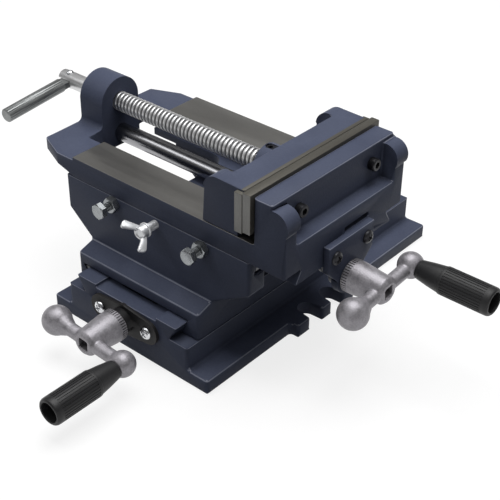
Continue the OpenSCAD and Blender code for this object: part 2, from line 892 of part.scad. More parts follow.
module movable_jaw() {
    tongue_z = keeper_z - keeper_clear;
    lug_z = floor_z + lug_clear;
    half = body_w / 2;
    color("#3f4452") on_saddle() difference() {
        union() {
            block([mov_wall, -half, jaw_foot_z], [mov_face, half, jaw_top]);
            block([mov_face - over, -half, jaw_top - lip_t], [jaw_x - jaw_gap, half, jaw_top]);
            for (side = [-1, 1])
                translate([0, side * (body_w - rib_w) / 2, 0])
                    along_y(-rib_w / 2, rib_w / 2) mov_rib_side();
            translate([0, 0, clamp_z]) round_x(mov_rear, mov_wall + over, nose_boss_r);
            block([mov_rear, -nose_boss_r, jaw_foot_z], [mov_wall + over, nose_boss_r, clamp_z]);
            block([mov_rear, -way_gap / 2 + tongue_clear, tongue_z],
                  [mov_face, way_gap / 2 - tongue_clear, jaw_foot_z + over]);
            block([mov_rear, -rod_lug_w / 2, lug_z], [mov_face, rod_lug_w / 2, tongue_z + over]);
        }
        translate([0, 0, clamp_z])
            round_x(mov_rear - over, mov_face - nose_gap / 2, clamp_d / 2 + run_fit);
        translate([0, 0, rod_z])
            round_x(mov_rear - over, mov_face - nose_gap, rod_d / 2 + seat_fit);
        translate([retain_x, 0, clamp_z])
            cylinder(h = nose_boss_r + over, r = retain_d / 2 + seat_fit);
        for (side = [-1, 1])
            translate([0, side * jaw_screw_pitch / 2, jaw_screw_z])
                round_x(mov_wall - over, mov_face + over, jaw_screw_d / 2 + seat_fit);
        keeper_screw_places()
            translate([0, 0, tongue_z - over])
                cylinder(h = nut_thread + over, r = keeper_screw_d / 2 + seat_fit);
    }
}

// Hardened plate of the movable jaw, under the lip of its casting
module movable_jaw_plate() {
    high = jaw_top - lip_t;
    color("#77756c") on_saddle() difference() {
        block([mov_face, -jaw_w / 2, high - jaw_h], [mov_face + jaw_t, jaw_w / 2, high]);
        for (side = [-1, 1])
            translate([0, side * jaw_screw_pitch / 2, jaw_screw_z])
                round_x(mov_face - over, mov_face + plate_hole, jaw_screw_d / 2 + seat_fit);
    }
}

module movable_jaw_screws() {
    color("#2c2d31") on_saddle() for (side = [-1, 1])
        translate([mov_wall, side * jaw_screw_pitch / 2, jaw_screw_z])
            rotate([0, -90, 0]) cap_screw(jaw_screw_d, jaw_wall + plate_hole - seat_fit);
}

// Polished rod that keeps the movable jaw square as it slides
module guide_rod() {
    tail = 1.5;
    chamfer = 1;
    rod_r = rod_d / 2;
    rod_len = mov_face - nose_gap - seat_fit - body_rear + tail;
    color("#b9bbbe") on_saddle() translate([body_rear - tail, 0, rod_z])
        rotate([0, 90, 0]) rotate_extrude()
            polygon([[0, 0], [rod_r - chamfer, 0], [rod_r, chamfer], [rod_r, rod_len], [0, rod_len]]);
}

// Strips under the ways that keep the movable jaw from lifting
module keeper_side_place(side) {
    mid = (rod_lug_w + keeper_gap) / 4;
    translate([0, side * mid, 0]) children();
}

module keeper_screw_places() {
    for (side = [-1, 1], end = [-1, 1])
        keeper_side_place(side)
            translate([(mov_rear + mov_face + end * keeper_pitch) / 2, -side * keeper_in, 0]) children();
}

module keeper_strips() {
    width = (keeper_gap - rod_lug_w) / 2 - 2 * tongue_clear;
    high = keeper_z - keeper_clear;
    color("#8d8f92") on_saddle() difference() {
        for (side = [-1, 1])
            keeper_side_place(side)
                block([mov_rear + over, -width / 2, high - keeper_t], [mov_face - over, width / 2, high]);
        keeper_screw_places() translate([0, 0, high - keeper_t - over]) {
            cylinder(h = keeper_t + 2 * over, r = keeper_screw_d / 2 + seat_fit);
            cylinder(h = keeper_head_h + over, r = keeper_screw_d * cap_head + seat_fit);
        }
    }
}

module keeper_screws() {
    seat_z = keeper_z - keeper_clear - keeper_t + keeper_head_h;
    color("#3b3c3f") on_saddle() keeper_screw_places() translate([0, 0, seat_z]) {
        translate([0, 0, -keeper_head_h]) cylinder(h = keeper_head_h, r = keeper_screw_d * cap_head);
        cylinder(h = keeper_t - keeper_head_h + nut_thread - over, d = keeper_screw_d);
    }
}

// Dog point screw in the jaw's boss: it rides in the groove of the clamp screw's nose
module clamp_retaining_screw() {
    socket_af = 3;
    socket_depth = 3;
    point_gap = 0.3;
    low = clamp_z + groove_r + point_gap;
    high = clamp_z + nose_boss_r - over;
    color("#2c2d31") on_saddle() translate([retain_x, 0, 0]) difference() {
        translate([0, 0, low]) cylinder(h = high - low, d = retain_d);
        translate([0, 0, high - socket_depth]) linear_extrude(socket_depth + over) hexagon(socket_af);
    }
}

// Clamp screw and its folding handle

thread_tail = 5;
rivet_in = 8;
bar_gap = 1.5;
head_start = body_rear - thread_tail;
head_end = body_rear - head_len;
rivet_x = head_end + rivet_in;
rivet_d = 4;
rivet_head_r = 3.2;
rivet_head_h = 2.2;
rivet_sink = 0.8;
rivet_seat = head_d / 2 - rivet_sink;
tongue_t = 4.4;
tongue_w = 9;
tongue_gap = 0.3;
bar_start = rivet_in + bar_gap;

// Moves the head's own frame, with the bar along -y, to its place and droop
module at_rivet() {
    on_saddle() translate([rivet_x, 0, clamp_z]) rotate([bar_droop, 0, 0]) children();
}

module clamp_screw() {
    nose = mov_face - nose_gap;
    groove_w = retain_d + groove_play;
    thread_r = clamp_d / 2;
    head_r = head_d / 2;
    chamfer = 1.5;
    color("#c4c7ca") difference() {
        on_saddle() translate([head_end, 0, clamp_z]) rotate([0, 90, 0]) rotate_extrude()
            polygon([
                [0, 0],
                [head_r - chamfer, 0],
                [head_r, chamfer],
                [head_r, head_start - head_end],
                [thread_r, head_start - head_end],
                [thread_r, retain_x - groove_w / 2 - head_end],
                [groove_r, retain_x - groove_w / 2 - head_end],
                [groove_r, retain_x + groove_w / 2 - head_end],
                [thread_r, retain_x + groove_w / 2 - head_end],
                [thread_r, nose - chamfer - head_end],
                [thread_r - chamfer, nose - head_end],
                [0, nose - head_end]
            ]);
        at_rivet() {
            slot_half = tongue_t / 2 + tongue_gap;
            block([head_end - rivet_x - over, -head_d, -slot_half],
                  [tongue_w / 2 + tongue_gap, head_d, slot_half]);
            cylinder(h = 2 * head_d, r = rivet_d / 2 + seat_fit, center = true);
            for (side = [-1, 1])
                translate([0, 0, side * (rivet_seat + head_d / 2)])
                    cylinder(h = head_d, r = rivet_head_r + seat_fit, center = true);
        }
    }
}

// Rivet with two domed heads: the handle folds on it
module clamp_handle_rivet() {
    dome_r = (rivet_head_r * rivet_head_r + rivet_head_h * rivet_head_h) / (2 * rivet_head_h);
    color("#d0d3d6") at_rivet() {
        cylinder(h = 2 * rivet_seat + over, d = rivet_d, center = true);
        for (side = [0, 180]) rotate([side, 0, 0]) intersection() {
            translate([0, 0, rivet_seat + rivet_head_h - dome_r]) sphere(r = dome_r);
            translate([0, 0, rivet_seat]) cylinder(h = rivet_head_h + over, r = rivet_head_r);
        }
    }
}

// Round bar with a flat tongue that sits in the slot of the screw's head
module clamp_handle() {
    bar_r = bar_d / 2;
    chamfer = 0.8;
    color("#b4b8bd") at_rivet() difference() {
        union() {
            rotate([90, 0, 0]) translate([0, 0, bar_start]) rotate_extrude()
                polygon([
                    [0, 0],
                    [tongue_w / 2, 0],
                    [bar_r, chamfer],
                    [bar_r, bar_reach - bar_start - chamfer],
                    [bar_r - chamfer, bar_reach - bar_start],
                    [0, bar_reach - bar_start]
                ]);
            block([-tongue_w / 2, -bar_start - over, -tongue_t / 2], [tongue_w / 2, 0, tongue_t / 2]);
            cylinder(h = tongue_t, d = tongue_w, center = true);
        }
        cylinder(h = tongue_t + 2 * over, r = rivet_d / 2 + run_fit, center = true);
    }
}

// Feed screws and cranks: each is made with its axis along z and its plate's seat at the origin

arm_in = 5.3;
drive_start = 12;
spindle_d = 6;
spindle_in = 6;
ball_flat = 6.6;
grip_gap = 0.3;
spindle_head_r = 5.5;
spindle_head_h = 4;
grip_bore_r = 6.8;
grip_bore_len = 10;
setscrew_d = 5;
setscrew_z = 15;
setscrew_gap = 0.3;

// Moves a feed screw's own frame to the upper or the lower slide
module at_upper() {
    on_saddle() translate([body_front, 0, feed_z])
        rotate([90 + upper_turn, 0, 0]) rotate([0, 90, 0]) children();
}
module at_lower() {
    translate([0, -base_len / 2, lower_feed_z]) rotate([0, lower_turn, 0]) rotate([90, 0, 0]) children();
}

// Feed screw with its thrust collar, journal and square end
module feed_screw(len, hub_z) {
    chamfer = 1.5;
    neck = hub_z + drive_start;
    end_sink = 6;
    flat_z = hub_z + hub_len - end_sink;
    rotate_extrude() polygon([
        [0, -len],
        [feed_d / 2 - chamfer, -len],
        [feed_d / 2, -len + chamfer],
        [feed_d / 2, -collar_gap - collar_t],
        [collar_r, -collar_gap - collar_t],
        [collar_r, -collar_gap],
        [journal_d / 2, -collar_gap],
        [journal_d / 2, neck],
        [0, neck]
    ]);
    block([-drive_w / 2, -drive_w / 2, neck - over], [drive_w / 2, drive_w / 2, flat_z]);
}

// Half outline of a crank's arm: counterweight with a conical neck, arm and handle ball
module crank_arm_half() {
    reach = weight_reach + ball_reach;
    neck_r = weight_r * 0.78;
    neck_y = weight_r * 0.6;
    flare = 7;
    intersection() {
        union() {
            translate([0, -weight_reach]) circle(r = weight_r);
            translate([0, ball_reach]) circle(r = ball_r);
            polygon([
                [0, -weight_reach],
                [neck_r, -weight_reach + neck_y],
                [arm_r, -weight_reach + neck_y + flare],
                [arm_r, ball_reach],
                [0, ball_reach]
            ]);
        }
        translate([0, -reach]) square([reach, 2 * reach]);
    }
}

// Cast crank: a graduated hub with a square hole, a counterweight and a handle ball
module crank() {
    ring_w = 7;
    edge = 2.5;
    arm_z = hub_len - arm_in;
    difference() {
        union() {
            rotate_extrude() polygon([
                [0, 0],
                [hub_r, 0],
                [hub_r, ring_w],
                [hub_end_r, hub_len - edge],
                [hub_end_r - edge, hub_len],
                [0, hub_len]
            ]);
            translate([0, 0, arm_z]) rotate([0, 90, 0]) rotate_extrude() crank_arm_half();
        }
        translate([0, 0, -over]) cylinder(h = drive_start + over + collar_gap, r = journal_d / 2 + seat_fit);
        block([-drive_w / 2 - seat_fit, -drive_w / 2 - seat_fit, 0],
              [drive_w / 2 + seat_fit, drive_w / 2 + seat_fit, hub_len + over]);
        translate([ball_reach, 0, arm_z + ball_flat + ball_r])
            cylinder(h = 2 * ball_r, r = ball_r, center = true);
        translate([ball_reach, 0, arm_z - spindle_in - seat_fit])
            cylinder(h = 2 * ball_r, r = spindle_d / 2 + seat_fit);
        translate([0, 0, setscrew_z]) rotate([90, 0, 0])
            cylinder(h = hub_r + over, r = setscrew_d / 2 + seat_fit);
    }
}

// Set screw that holds the crank on the square
module crank_setscrew() {
    setscrew_len = 5;
    socket_af = 2.5;
    socket_depth = 2;
    translate([0, 0, setscrew_z]) rotate([90, 0, 0])
        translate([0, 0, drive_w / 2 + setscrew_gap]) difference() {
            cylinder(h = setscrew_len, d = setscrew_d);
            translate([0, 0, setscrew_len - socket_depth])
                linear_extrude(socket_depth + over) hexagon(socket_af);
        }
}

// Shoulder screw in the handle ball: the grip turns on it
module grip_spindle() {
    grip_z = hub_len - arm_in + ball_flat + grip_gap;
    head_z = grip_z + grip_len - grip_bore_len + grip_gap;
    low = hub_len - arm_in - spindle_in;
    slot_w_head = 1.2;
    slot_d_head = 1.5;
    translate([ball_reach, 0, 0]) difference() {
        union() {
            translate([0, 0, low]) cylinder(h = head_z - low + over, d = spindle_d);
            translate([0, 0, head_z]) cylinder(h = spindle_head_h, r = spindle_head_r);
        }
        translate([0, 0, head_z + spindle_head_h])
            cube([2 * spindle_head_r, slot_w_head, 2 * slot_d_head], center = true);
    }
}

// Hollow grip with a tapered end
module crank_grip() {
    grip_z = hub_len - arm_in + ball_flat + grip_gap;
    bore = spindle_d / 2 + run_fit;
    edge = 1.5;
    translate([ball_reach, 0, grip_z]) rotate_extrude() polygon([
        [bore, 0],
        [grip_neck_r, 0],
        [grip_r, grip_taper],
        [grip_r, grip_len - edge],
        [grip_r - edge, grip_len],
        [grip_bore_r, grip_len],
        [grip_bore_r, grip_len - grip_bore_len],
        [bore, grip_len - grip_bore_len]
    ]);
}

upper_hub_z = plate_t + hub_gap;
lower_hub_z = lower_plate_t + lower_boss_t + hub_gap;

module upper_feed_screw() {
    color("#aeb1b5") at_upper() feed_screw(upper_feed_len, upper_hub_z);
}
module upper_crank() {
    color("#8f8d8d") at_upper() translate([0, 0, upper_hub_z]) crank();
}
module upper_crank_setscrew() {
    color("#3b3c3f") at_upper() translate([0, 0, upper_hub_z]) crank_setscrew();
}
module upper_grip_spindle() {
    color("#8d8f92") at_upper() translate([0, 0, upper_hub_z]) grip_spindle();
}
module upper_grip() {
    color("#17181a") at_upper() translate([0, 0, upper_hub_z]) crank_grip();
}
module lower_feed_screw() {
    color("#aeb1b5") at_lower() feed_screw(lower_feed_len, lower_hub_z);
}
module lower_crank() {
    color("#8f8d8d") at_lower() translate([0, 0, lower_hub_z]) crank();
}
module lower_crank_setscrew() {
    color("#3b3c3f") at_lower() translate([0, 0, lower_hub_z]) crank_setscrew();
}
module lower_grip_spindle() {
    color("#8d8f92") at_lower() translate([0, 0, lower_hub_z]) grip_spindle();
}
module lower_grip() {
    color("#17181a") at_lower() translate([0, 0, lower_hub_z]) crank_grip();
}

// Wing bolt that locks the upper slide by its gib

module wing_bolt() {
    hub_start = 8;
    wing_hub_r = 5;
    wing_hub_h = 7;
    wing_hub_taper = 1;
    wing_t = 3;
    wing_rise = 10.5;
    tip_h = 5;
    color("#d3d6da") on_saddle() translate([wing_x, -body_w / 2, upper_bolt_z]) rotate([90, 0, 0]) {
        translate([0, 0, -upper_bolt_depth])
            cylinder(h = upper_bolt_depth + hub_start + over, d = bolt_d);
        translate([0, 0, hub_start])
            cylinder(h = wing_hub_h, r1 = wing_hub_r, r2 = wing_hub_r - wing_hub_taper);
        for (side = [0, 180])
            rotate([0, 0, side + wing_turn]) translate([0, wing_t / 2, hub_start]) rotate([90, 0, 0])
                linear_extrude(wing_t) wing_outline(wing_hub_h, wing_rise, tip_h);
    }
}

// Outline of one wing, which rises away from the hub to a broad tip
module wing_outline(root_h, rise, tip_h) {
    tip_r = tip_h / 2;
    translate([wing_r - tip_r, rise + tip_r]) circle(r = tip_r);
    polygon([
        [0, over],
        [wing_r - tip_r * 0.4, rise + tip_r * 0.2],
        [wing_r - tip_r * 1.4, rise + tip_h * 0.96],
        [0, root_h - over]
    ]);
}

base_casting();
lower_bearing_plate();
lower_plate_screws();
saddle_casting();
lower_gib();
lower_gib_bolts();
lower_gib_locknuts();
upper_gib();
upper_gib_bolts();
upper_gib_locknuts();
lower_feed_nut();
lower_nut_screws();
upper_feed_nut();
upper_nut_screws();
vise_body();
fixed_jaw_plate();
fixed_jaw_screws();
upper_bearing_plate();
upper_plate_screws();
movable_jaw();
movable_jaw_plate();
movable_jaw_screws();
guide_rod();
keeper_strips();
keeper_screws();
clamp_retaining_screw();
clamp_screw();
clamp_handle_rivet();
clamp_handle();
upper_feed_screw();
upper_crank();
upper_crank_setscrew();
upper_grip_spindle();
upper_grip();
lower_feed_screw();
lower_crank();
lower_crank_setscrew();
lower_grip_spindle();
lower_grip();
wing_bolt();
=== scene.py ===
import json
import math

import bpy
from mathutils import Matrix, Vector


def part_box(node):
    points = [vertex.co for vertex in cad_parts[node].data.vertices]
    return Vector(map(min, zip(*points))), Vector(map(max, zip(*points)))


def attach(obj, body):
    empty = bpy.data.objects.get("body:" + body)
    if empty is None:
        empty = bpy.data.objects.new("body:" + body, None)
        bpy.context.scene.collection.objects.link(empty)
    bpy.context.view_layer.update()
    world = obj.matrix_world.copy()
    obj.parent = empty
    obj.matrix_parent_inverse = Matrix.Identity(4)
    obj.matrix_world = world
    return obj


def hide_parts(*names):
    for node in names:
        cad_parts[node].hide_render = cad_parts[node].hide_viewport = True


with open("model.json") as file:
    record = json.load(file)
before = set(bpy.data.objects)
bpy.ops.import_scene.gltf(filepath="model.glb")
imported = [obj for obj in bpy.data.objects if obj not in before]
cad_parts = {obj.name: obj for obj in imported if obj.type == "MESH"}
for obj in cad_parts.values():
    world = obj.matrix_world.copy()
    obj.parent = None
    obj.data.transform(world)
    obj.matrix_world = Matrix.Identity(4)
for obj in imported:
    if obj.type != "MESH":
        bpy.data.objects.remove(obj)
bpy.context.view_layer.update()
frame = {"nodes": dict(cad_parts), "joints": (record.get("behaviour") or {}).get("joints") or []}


# Base casting: grey iron, sand cast, with milled dovetail rails on top.
# It is sprayed dark blue-grey all over, and the sand's grain shows through the paint.
MM = 0.001
weld_gap = 0.002 * MM
flat_within = math.radians(0.4)
sharp_from = math.radians(28)
# How far up a rounding must face to get the painted edge highlight
highlight_rise = 0.25
steep = 0.7


def only(*pieces):
    bpy.ops.object.select_all(action="DESELECT")
    for piece in pieces:
        piece.select_set(True)
    bpy.context.view_layer.objects.active = pieces[0]


def open_mesh(piece):
    # Edit mode with the whole mesh selected
    only(piece)
    bpy.ops.object.mode_set(mode="EDIT")
    bpy.ops.mesh.select_all(action="SELECT")


def close_mesh():
    bpy.ops.object.mode_set(mode="OBJECT")


def apply_all(piece):
    only(piece)
    for modifier in list(piece.modifiers):
        bpy.ops.object.modifier_apply(modifier=modifier.name)


def smooth(piece, degrees=32):
    only(piece)
    bpy.ops.object.shade_smooth_by_angle(angle=math.radians(degrees))


def copy_of_solid(node, name):
    piece = bpy.data.objects.new(name, frame["nodes"][node].data.copy())
    piece.data.materials.clear()
    bpy.context.scene.collection.objects.link(piece)
    open_mesh(piece)
    bpy.ops.mesh.remove_doubles(threshold=weld_gap)
    bpy.ops.mesh.dissolve_limited(angle_limit=flat_within)
    close_mesh()
    return piece


def round_edges(piece, radius_at, largest, shortest=1.75):
    # Rounds each sharp edge by the radius that radius_at gives for its two ends, in mm
    open_mesh(piece)
    bpy.ops.mesh.select_mode(type="EDGE")
    bpy.ops.mesh.select_all(action="DESELECT")
    bpy.ops.mesh.edges_select_sharp(sharpness=sharp_from)
    close_mesh()
    mesh = piece.data
    weight = mesh.attributes.new("bevel_weight_edge", "FLOAT", "EDGE")
    for edge in mesh.edges:
        a, b = (mesh.vertices[corner].co / MM for corner in edge.vertices)
        if edge.select and (a - b).length > shortest:
            weight.data[edge.index].value = radius_at(a, b) / largest
    rounding = piece.modifiers.new("rounding", "BEVEL")
    rounding.limit_method = "WEIGHT"
    rounding.width = largest * MM
    rounding.segments = 3
    rounding.use_clamp_overlap = False
    rounding.miter_outer = "MITER_ARC"
    rounding.material = 1
    apply_all(piece)
    smooth(piece)


def paint_edge_highlights(piece):
    # Painted highlight: leaves the second, lighter paint only along the middle of each outer rounding that
    # looks up, where overhead light catches the edge
    mesh = piece.data
    beside = {}
    for face in mesh.polygons:
        for key in face.edge_keys:
            beside.setdefault(key, []).append(face.index)
    rounded = {face.index for face in mesh.polygons if face.material_index == 1}
    for index in rounded:
        face = mesh.polygons[index]
        next_to = [mesh.polygons[other] for key in face.edge_keys for other in beside[key] if other != index]
        hollow = sum((other.center - face.center).dot(face.normal) for other in next_to) > 0
        at_border = any(other.index not in rounded for other in next_to)
        if hollow or face.normal.z < highlight_rise or at_border:
            face.material_index = 0


def both(a, b, test):
    return test(a) and test(b)


def upright(a, b):
    return abs(a.z - b.z) > steep * (a - b).length


def finish(name, dark, light, metallic, rough, grain_mm, grain_depth, patch_mm=30.0, stretch=(1, 1, 1),
           shine=0.5, worn=None, worn_mm=2.5, worn_share=0.5, corner_shade=None, corner_shade_mm=6.0, corner_shade_share=0.6):
    # Two tones in soft patches, a grain in the bump, a roughness that wanders between two values,
    # edges worn to another tone and corners darkened by painted shade
    grain_in_tone = 0.35
    darkest_at = 0.32
    lightest_at = 0.68
    corner_shade_range = (0.35, 0.85)
    edge_range = (0.45, 0.9)
    patchy_wear = (0.3, 0.6, 0.35, 1.0)
    rough_range = (0.3, 0.7)
    grain_height = 0.2 * MM
    material = bpy.data.materials.new(name)
    material.use_nodes = True
    tree = material.node_tree
    shader = tree.nodes["Principled BSDF"]
    shader.inputs["Metallic"].default_value = metallic
    shader.inputs["Specular IOR Level"].default_value = shine
    place = tree.nodes.new("ShaderNodeTexCoord")
    turn = tree.nodes.new("ShaderNodeMapping")
    turn.inputs["Scale"].default_value = stretch
    tree.links.new(place.outputs["Object"], turn.inputs["Vector"])

    def noise(size_mm, detail):
        node = tree.nodes.new("ShaderNodeTexNoise")
        node.inputs["Scale"].default_value = 1.0 / (size_mm * MM)
        node.inputs["Detail"].default_value = detail
        tree.links.new(turn.outputs["Vector"], node.inputs["Vector"])
        return node.outputs["Fac"]

    def ranged(value, *limits):
        node = tree.nodes.new("ShaderNodeMapRange")
        for socket, number in zip(("From Min", "From Max", "To Min", "To Max"), limits):
            node.inputs[socket].default_value = number
        tree.links.new(value, node.inputs["Value"])
        return node.outputs["Result"]

    def reach(distance_mm, inside):
        node = tree.nodes.new("ShaderNodeAmbientOcclusion")
        node.samples = 8
        node.inside = inside
        node.only_local = True
        node.inputs["Distance"].default_value = distance_mm * MM
        return node.outputs["AO"]

    def mixed(share, first, second):
        node = tree.nodes.new("ShaderNodeMix")
        node.data_type = "RGBA"
        colour_a, colour_b, colour_out = node.inputs[6], node.inputs[7], node.outputs[2]
        tree.links.new(share, node.inputs["Factor"])
        tree.links.new(first, colour_a)
        colour_b.default_value = (*second, 1)
        return colour_out

    patches = noise(patch_mm, 4)
    grain = noise(grain_mm, 3)
    blend = tree.nodes.new("ShaderNodeMix")
    blend.inputs["Factor"].default_value = grain_in_tone
    tree.links.new(patches, blend.inputs["A"])
    tree.links.new(grain, blend.inputs["B"])
    tones = tree.nodes.new("ShaderNodeValToRGB")
    tones.color_ramp.elements[0].position = darkest_at
    tones.color_ramp.elements[0].color = (*dark, 1)
    tones.color_ramp.elements[1].position = lightest_at
    tones.color_ramp.elements[1].color = (*light, 1)
    tree.links.new(blend.outputs["Result"], tones.inputs["Fac"])
    colour = tones.outputs["Color"]
    # Painted shade: the colour is darkened in corners and crevices that ambient occlusion finds
    if corner_shade:
        colour = mixed(ranged(reach(corner_shade_mm, False), *corner_shade_range, corner_shade_share, 0.0), colour, corner_shade)
    if worn:
        rubbed = tree.nodes.new("ShaderNodeMath")
        rubbed.operation = "MULTIPLY"
        tree.links.new(ranged(reach(worn_mm, True), *edge_range, worn_share, 0.0), rubbed.inputs[0])
        tree.links.new(ranged(grain, *patchy_wear), rubbed.inputs[1])
        colour = mixed(rubbed.outputs[0], colour, worn)
    tree.links.new(colour, shader.inputs["Base Color"])
    tree.links.new(ranged(patches, *rough_range, *rough), shader.inputs["Roughness"])
    bump = tree.nodes.new("ShaderNodeBump")
    bump.inputs["Strength"].default_value = grain_depth
    bump.inputs["Distance"].default_value = grain_height
    tree.links.new(grain, bump.inputs["Height"])
    tree.links.new(bump.outputs["Normal"], shader.inputs["Normal"])
    return material


def dress(piece, material, slot, body, *nodes):
    piece.data.materials.clear()
    piece.data.materials.append(material)
    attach(piece, body)
    if nodes:
        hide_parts(*nodes)


# Its corners are darkened by painted shade
blue_grey_paint = finish(
    "blue_grey_paint", (0.062, 0.072, 0.112), (0.083, 0.096, 0.145), metallic=0.0, rough=(0.42, 0.56),
    grain_mm=1.5, grain_depth=0.42, shine=0.10, corner_shade=(0.012, 0.013, 0.018), corner_shade_mm=8.0, corner_shade_share=0.75)
# A lighter blue-grey laid on up-facing rounded edges as a painted highlight
edge_highlight_paint = finish(
    "edge_highlight_paint", (0.15, 0.165, 0.225), (0.23, 0.245, 0.31), metallic=0.0, rough=(0.32, 0.42),
    grain_mm=0.9, grain_depth=0.30, patch_mm=9.0)


def painted_casting(node, name, body, radius_at, largest, shortest=1.75):
    # Painted all over, with a lighter paint along the up-facing outer edges as a painted highlight
    piece = copy_of_solid(node, name)
    dress(piece, blue_grey_paint, "blue_grey_paint", body, node)
    piece.data.materials.append(edge_highlight_paint)
    round_edges(piece, radius_at, largest, shortest)
    paint_edge_highlights(piece)
    return piece


trough_half_x = 17.2
trough_half_y = 110.5
trough_top_z = 36.2
rail_foot_z = 27.0
rail_edge_r = 0.7
under_edge_r = 0.5
outer_corner_r = 2.4
outer_edge_r = 1.7
near_zero = 0.1


def base_radius(a, b):
    if both(a, b, lambda p: abs(p.x) < trough_half_x and abs(p.y) < trough_half_y and p.z < trough_top_z):
        return 0.0
    if both(a, b, lambda p: p.z < near_zero):
        return under_edge_r
    if both(a, b, lambda p: p.z > rail_foot_z):
        return rail_edge_r
    return outer_corner_r if upright(a, b) else outer_edge_r


painted_casting("base_casting", "base", "base", base_radius, outer_corner_r)


# Lower bearing plate: black-painted iron with a boss, its edge left a little rusty and given a rust-brown
# painted highlight.
# Two chromed pan head screws hold it on the base's end.
def evenly(radius):
    # The same rounding on every edge
    return lambda a, b: radius


black_paint = finish(
    "black_paint", (0.008, 0.008, 0.010), (0.020, 0.019, 0.019), metallic=0.0, rough=(0.45, 0.65),
    grain_mm=1.0, grain_depth=0.35, shine=0.3, worn=(0.07, 0.055, 0.046), worn_mm=0.9)
# Rust-brown paint on the up-facing rounded edges only: partly rust, partly a painted highlight
rust_and_highlight_edge = finish(
    "rust_and_highlight_edge", (0.10, 0.082, 0.072), (0.19, 0.165, 0.15), metallic=0.0, rough=(0.5, 0.65),
    grain_mm=0.6, grain_depth=0.35, patch_mm=5.0, shine=0.3)
lower_plate_edge_r = 0.8
lower_plate = copy_of_solid("lower_bearing_plate", "lower_plate")
dress(lower_plate, black_paint, "black_paint", "base", "lower_bearing_plate")
lower_plate.data.materials.append(rust_and_highlight_edge)
round_edges(lower_plate, evenly(lower_plate_edge_r), lower_plate_edge_r, shortest=0.9)
paint_edge_highlights(lower_plate)


# Pan head screws: turned steel with a crossed recess, chromed on the lower plate, black on the upper one.
# One is turned and recessed, then copied to all four holes.
def span(node):
    # Lowest and highest corner of a solid, in mm
    low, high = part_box(node)
    return low / MM, high / MM


def drawn(name, points):
    # A line through points given as (radius, height) in mm, pulled out of one vertex in the x-z plane
    bpy.ops.mesh.primitive_plane_add(size=MM)
    piece = bpy.context.object
    piece.name = name
    bpy.ops.object.mode_set(mode="EDIT")
    bpy.ops.mesh.select_mode(type="VERT")
    bpy.ops.mesh.select_all(action="SELECT")
    bpy.ops.mesh.merge(type="CENTER")
    here = Vector(points[0])
    bpy.ops.transform.translate(value=(here.x * MM, 0, here.y * MM))
    for point in points[1:]:
        step = Vector(point) - here
        bpy.ops.mesh.extrude_vertices_move(TRANSFORM_OT_translate={"value": (step.x * MM, 0, step.y * MM)})
        here += step
    close_mesh()
    return piece


def tidy_faces(piece):
    open_mesh(piece)
    bpy.ops.mesh.remove_doubles(threshold=0.001 * MM)
    bpy.ops.mesh.normals_make_consistent(inside=False)
    close_mesh()


def turned(name, points, sides=48):
    piece = drawn(name, points)
    open_mesh(piece)
    bpy.ops.mesh.spin(steps=sides, angle=2 * math.pi, center=(0, 0, 0), axis=(0, 0, 1))
    close_mesh()
    tidy_faces(piece)
    return piece


def bar(size, middle, turn=0.0):
    # A square-edged bar, its size and middle in mm
    spin = (0, 0, math.radians(turn))
    bpy.ops.mesh.primitive_cube_add(size=1, location=Vector(middle) * MM, rotation=spin)
    piece = bpy.context.object
    piece.scale = Vector(size) * MM
    bpy.ops.object.transform_apply(location=True, rotation=True, scale=True)
    return piece


def cut(piece, tool, way="DIFFERENCE"):
    cutter = piece.modifiers.new("cut", "BOOLEAN")
    cutter.operation = way
    cutter.object = tool
    cutter.solver = "EXACT"
    apply_all(piece)
    bpy.data.objects.remove(tool)


def put(piece, matrix):
    piece.matrix_world = matrix
    only(piece)
    bpy.ops.object.transform_apply(location=True, rotation=True, scale=True)


def at(x, y, z, up, turn=0.0):
    # A place in the frame whose own z points along up, turned about it
    tilt = Vector((0, 0, 1)).rotation_difference(Vector(up)).to_matrix().to_4x4()
    return Matrix.Translation(Vector((x, y, z)) * MM) @ tilt @ Matrix.Rotation(math.radians(turn), 4, "Z")


def another(piece, name):
    twin = bpy.data.objects.new(name, piece.data.copy())
    bpy.context.scene.collection.objects.link(twin)
    return twin


def joined(name, *pieces):
    only(*pieces)
    bpy.ops.object.join()
    piece = bpy.context.view_layer.objects.active
    piece.name = name
    return piece


chrome = finish(
    "chrome", (0.60, 0.61, 0.63), (0.72, 0.73, 0.75), metallic=1.0, rough=(0.10, 0.20),
    grain_mm=2.0, grain_depth=0.02)
black_oxide = finish(
    "black_oxide", (0.018, 0.018, 0.021), (0.040, 0.040, 0.046), metallic=0.6, rough=(0.3, 0.45),
    grain_mm=0.8, grain_depth=0.10)
pan_r = 4.5
pan_h = 3.0
pan_shank_r = 3.0
pan_shank_len = 16.0
recess_size = (5.0, 1.05, 2.6)
recess_z = 2.6
pan_turns = (20, 55)
pan_head = turned("pan_head", [
    (0, -pan_shank_len), (pan_shank_r, -pan_shank_len), (pan_shank_r, 0), (pan_r, 0), (pan_r, 0.9),
    (4.2, 1.6), (3.3, 2.35), (1.8, 2.85), (0, pan_h)])
for turn in (0, 90):
    cut(pan_head, bar(recess_size, (0, 0, recess_z), turn))
smooth(pan_head)


def plate_screws(node, places, up, material, slot, body):
    pair = []
    for place, turn in zip(places, pan_turns):
        pair.append(another(pan_head, node))
        put(pair[-1], at(*place, up, turn))
    dress(joined(node + "_pair", *pair), material, slot, body, node)


low, high = span("lower_plate_screws")
lower_screws_z = (low.z + high.z) / 2
lower_screws = [(x, low.y + pan_h, lower_screws_z) for x in (low.x + pan_r, high.x - pan_r)]
plate_screws("lower_plate_screws", lower_screws, (0, -1, 0), chrome, "zinc_plate", "base")


# Saddle casting: the foot runs on the base's dovetail and the two walls carry the vise body.
# It is cast, milled in both dovetails and painted like the base.
def joint_named(name):
    return next(joint for joint in frame["joints"] if joint["name"] == name)


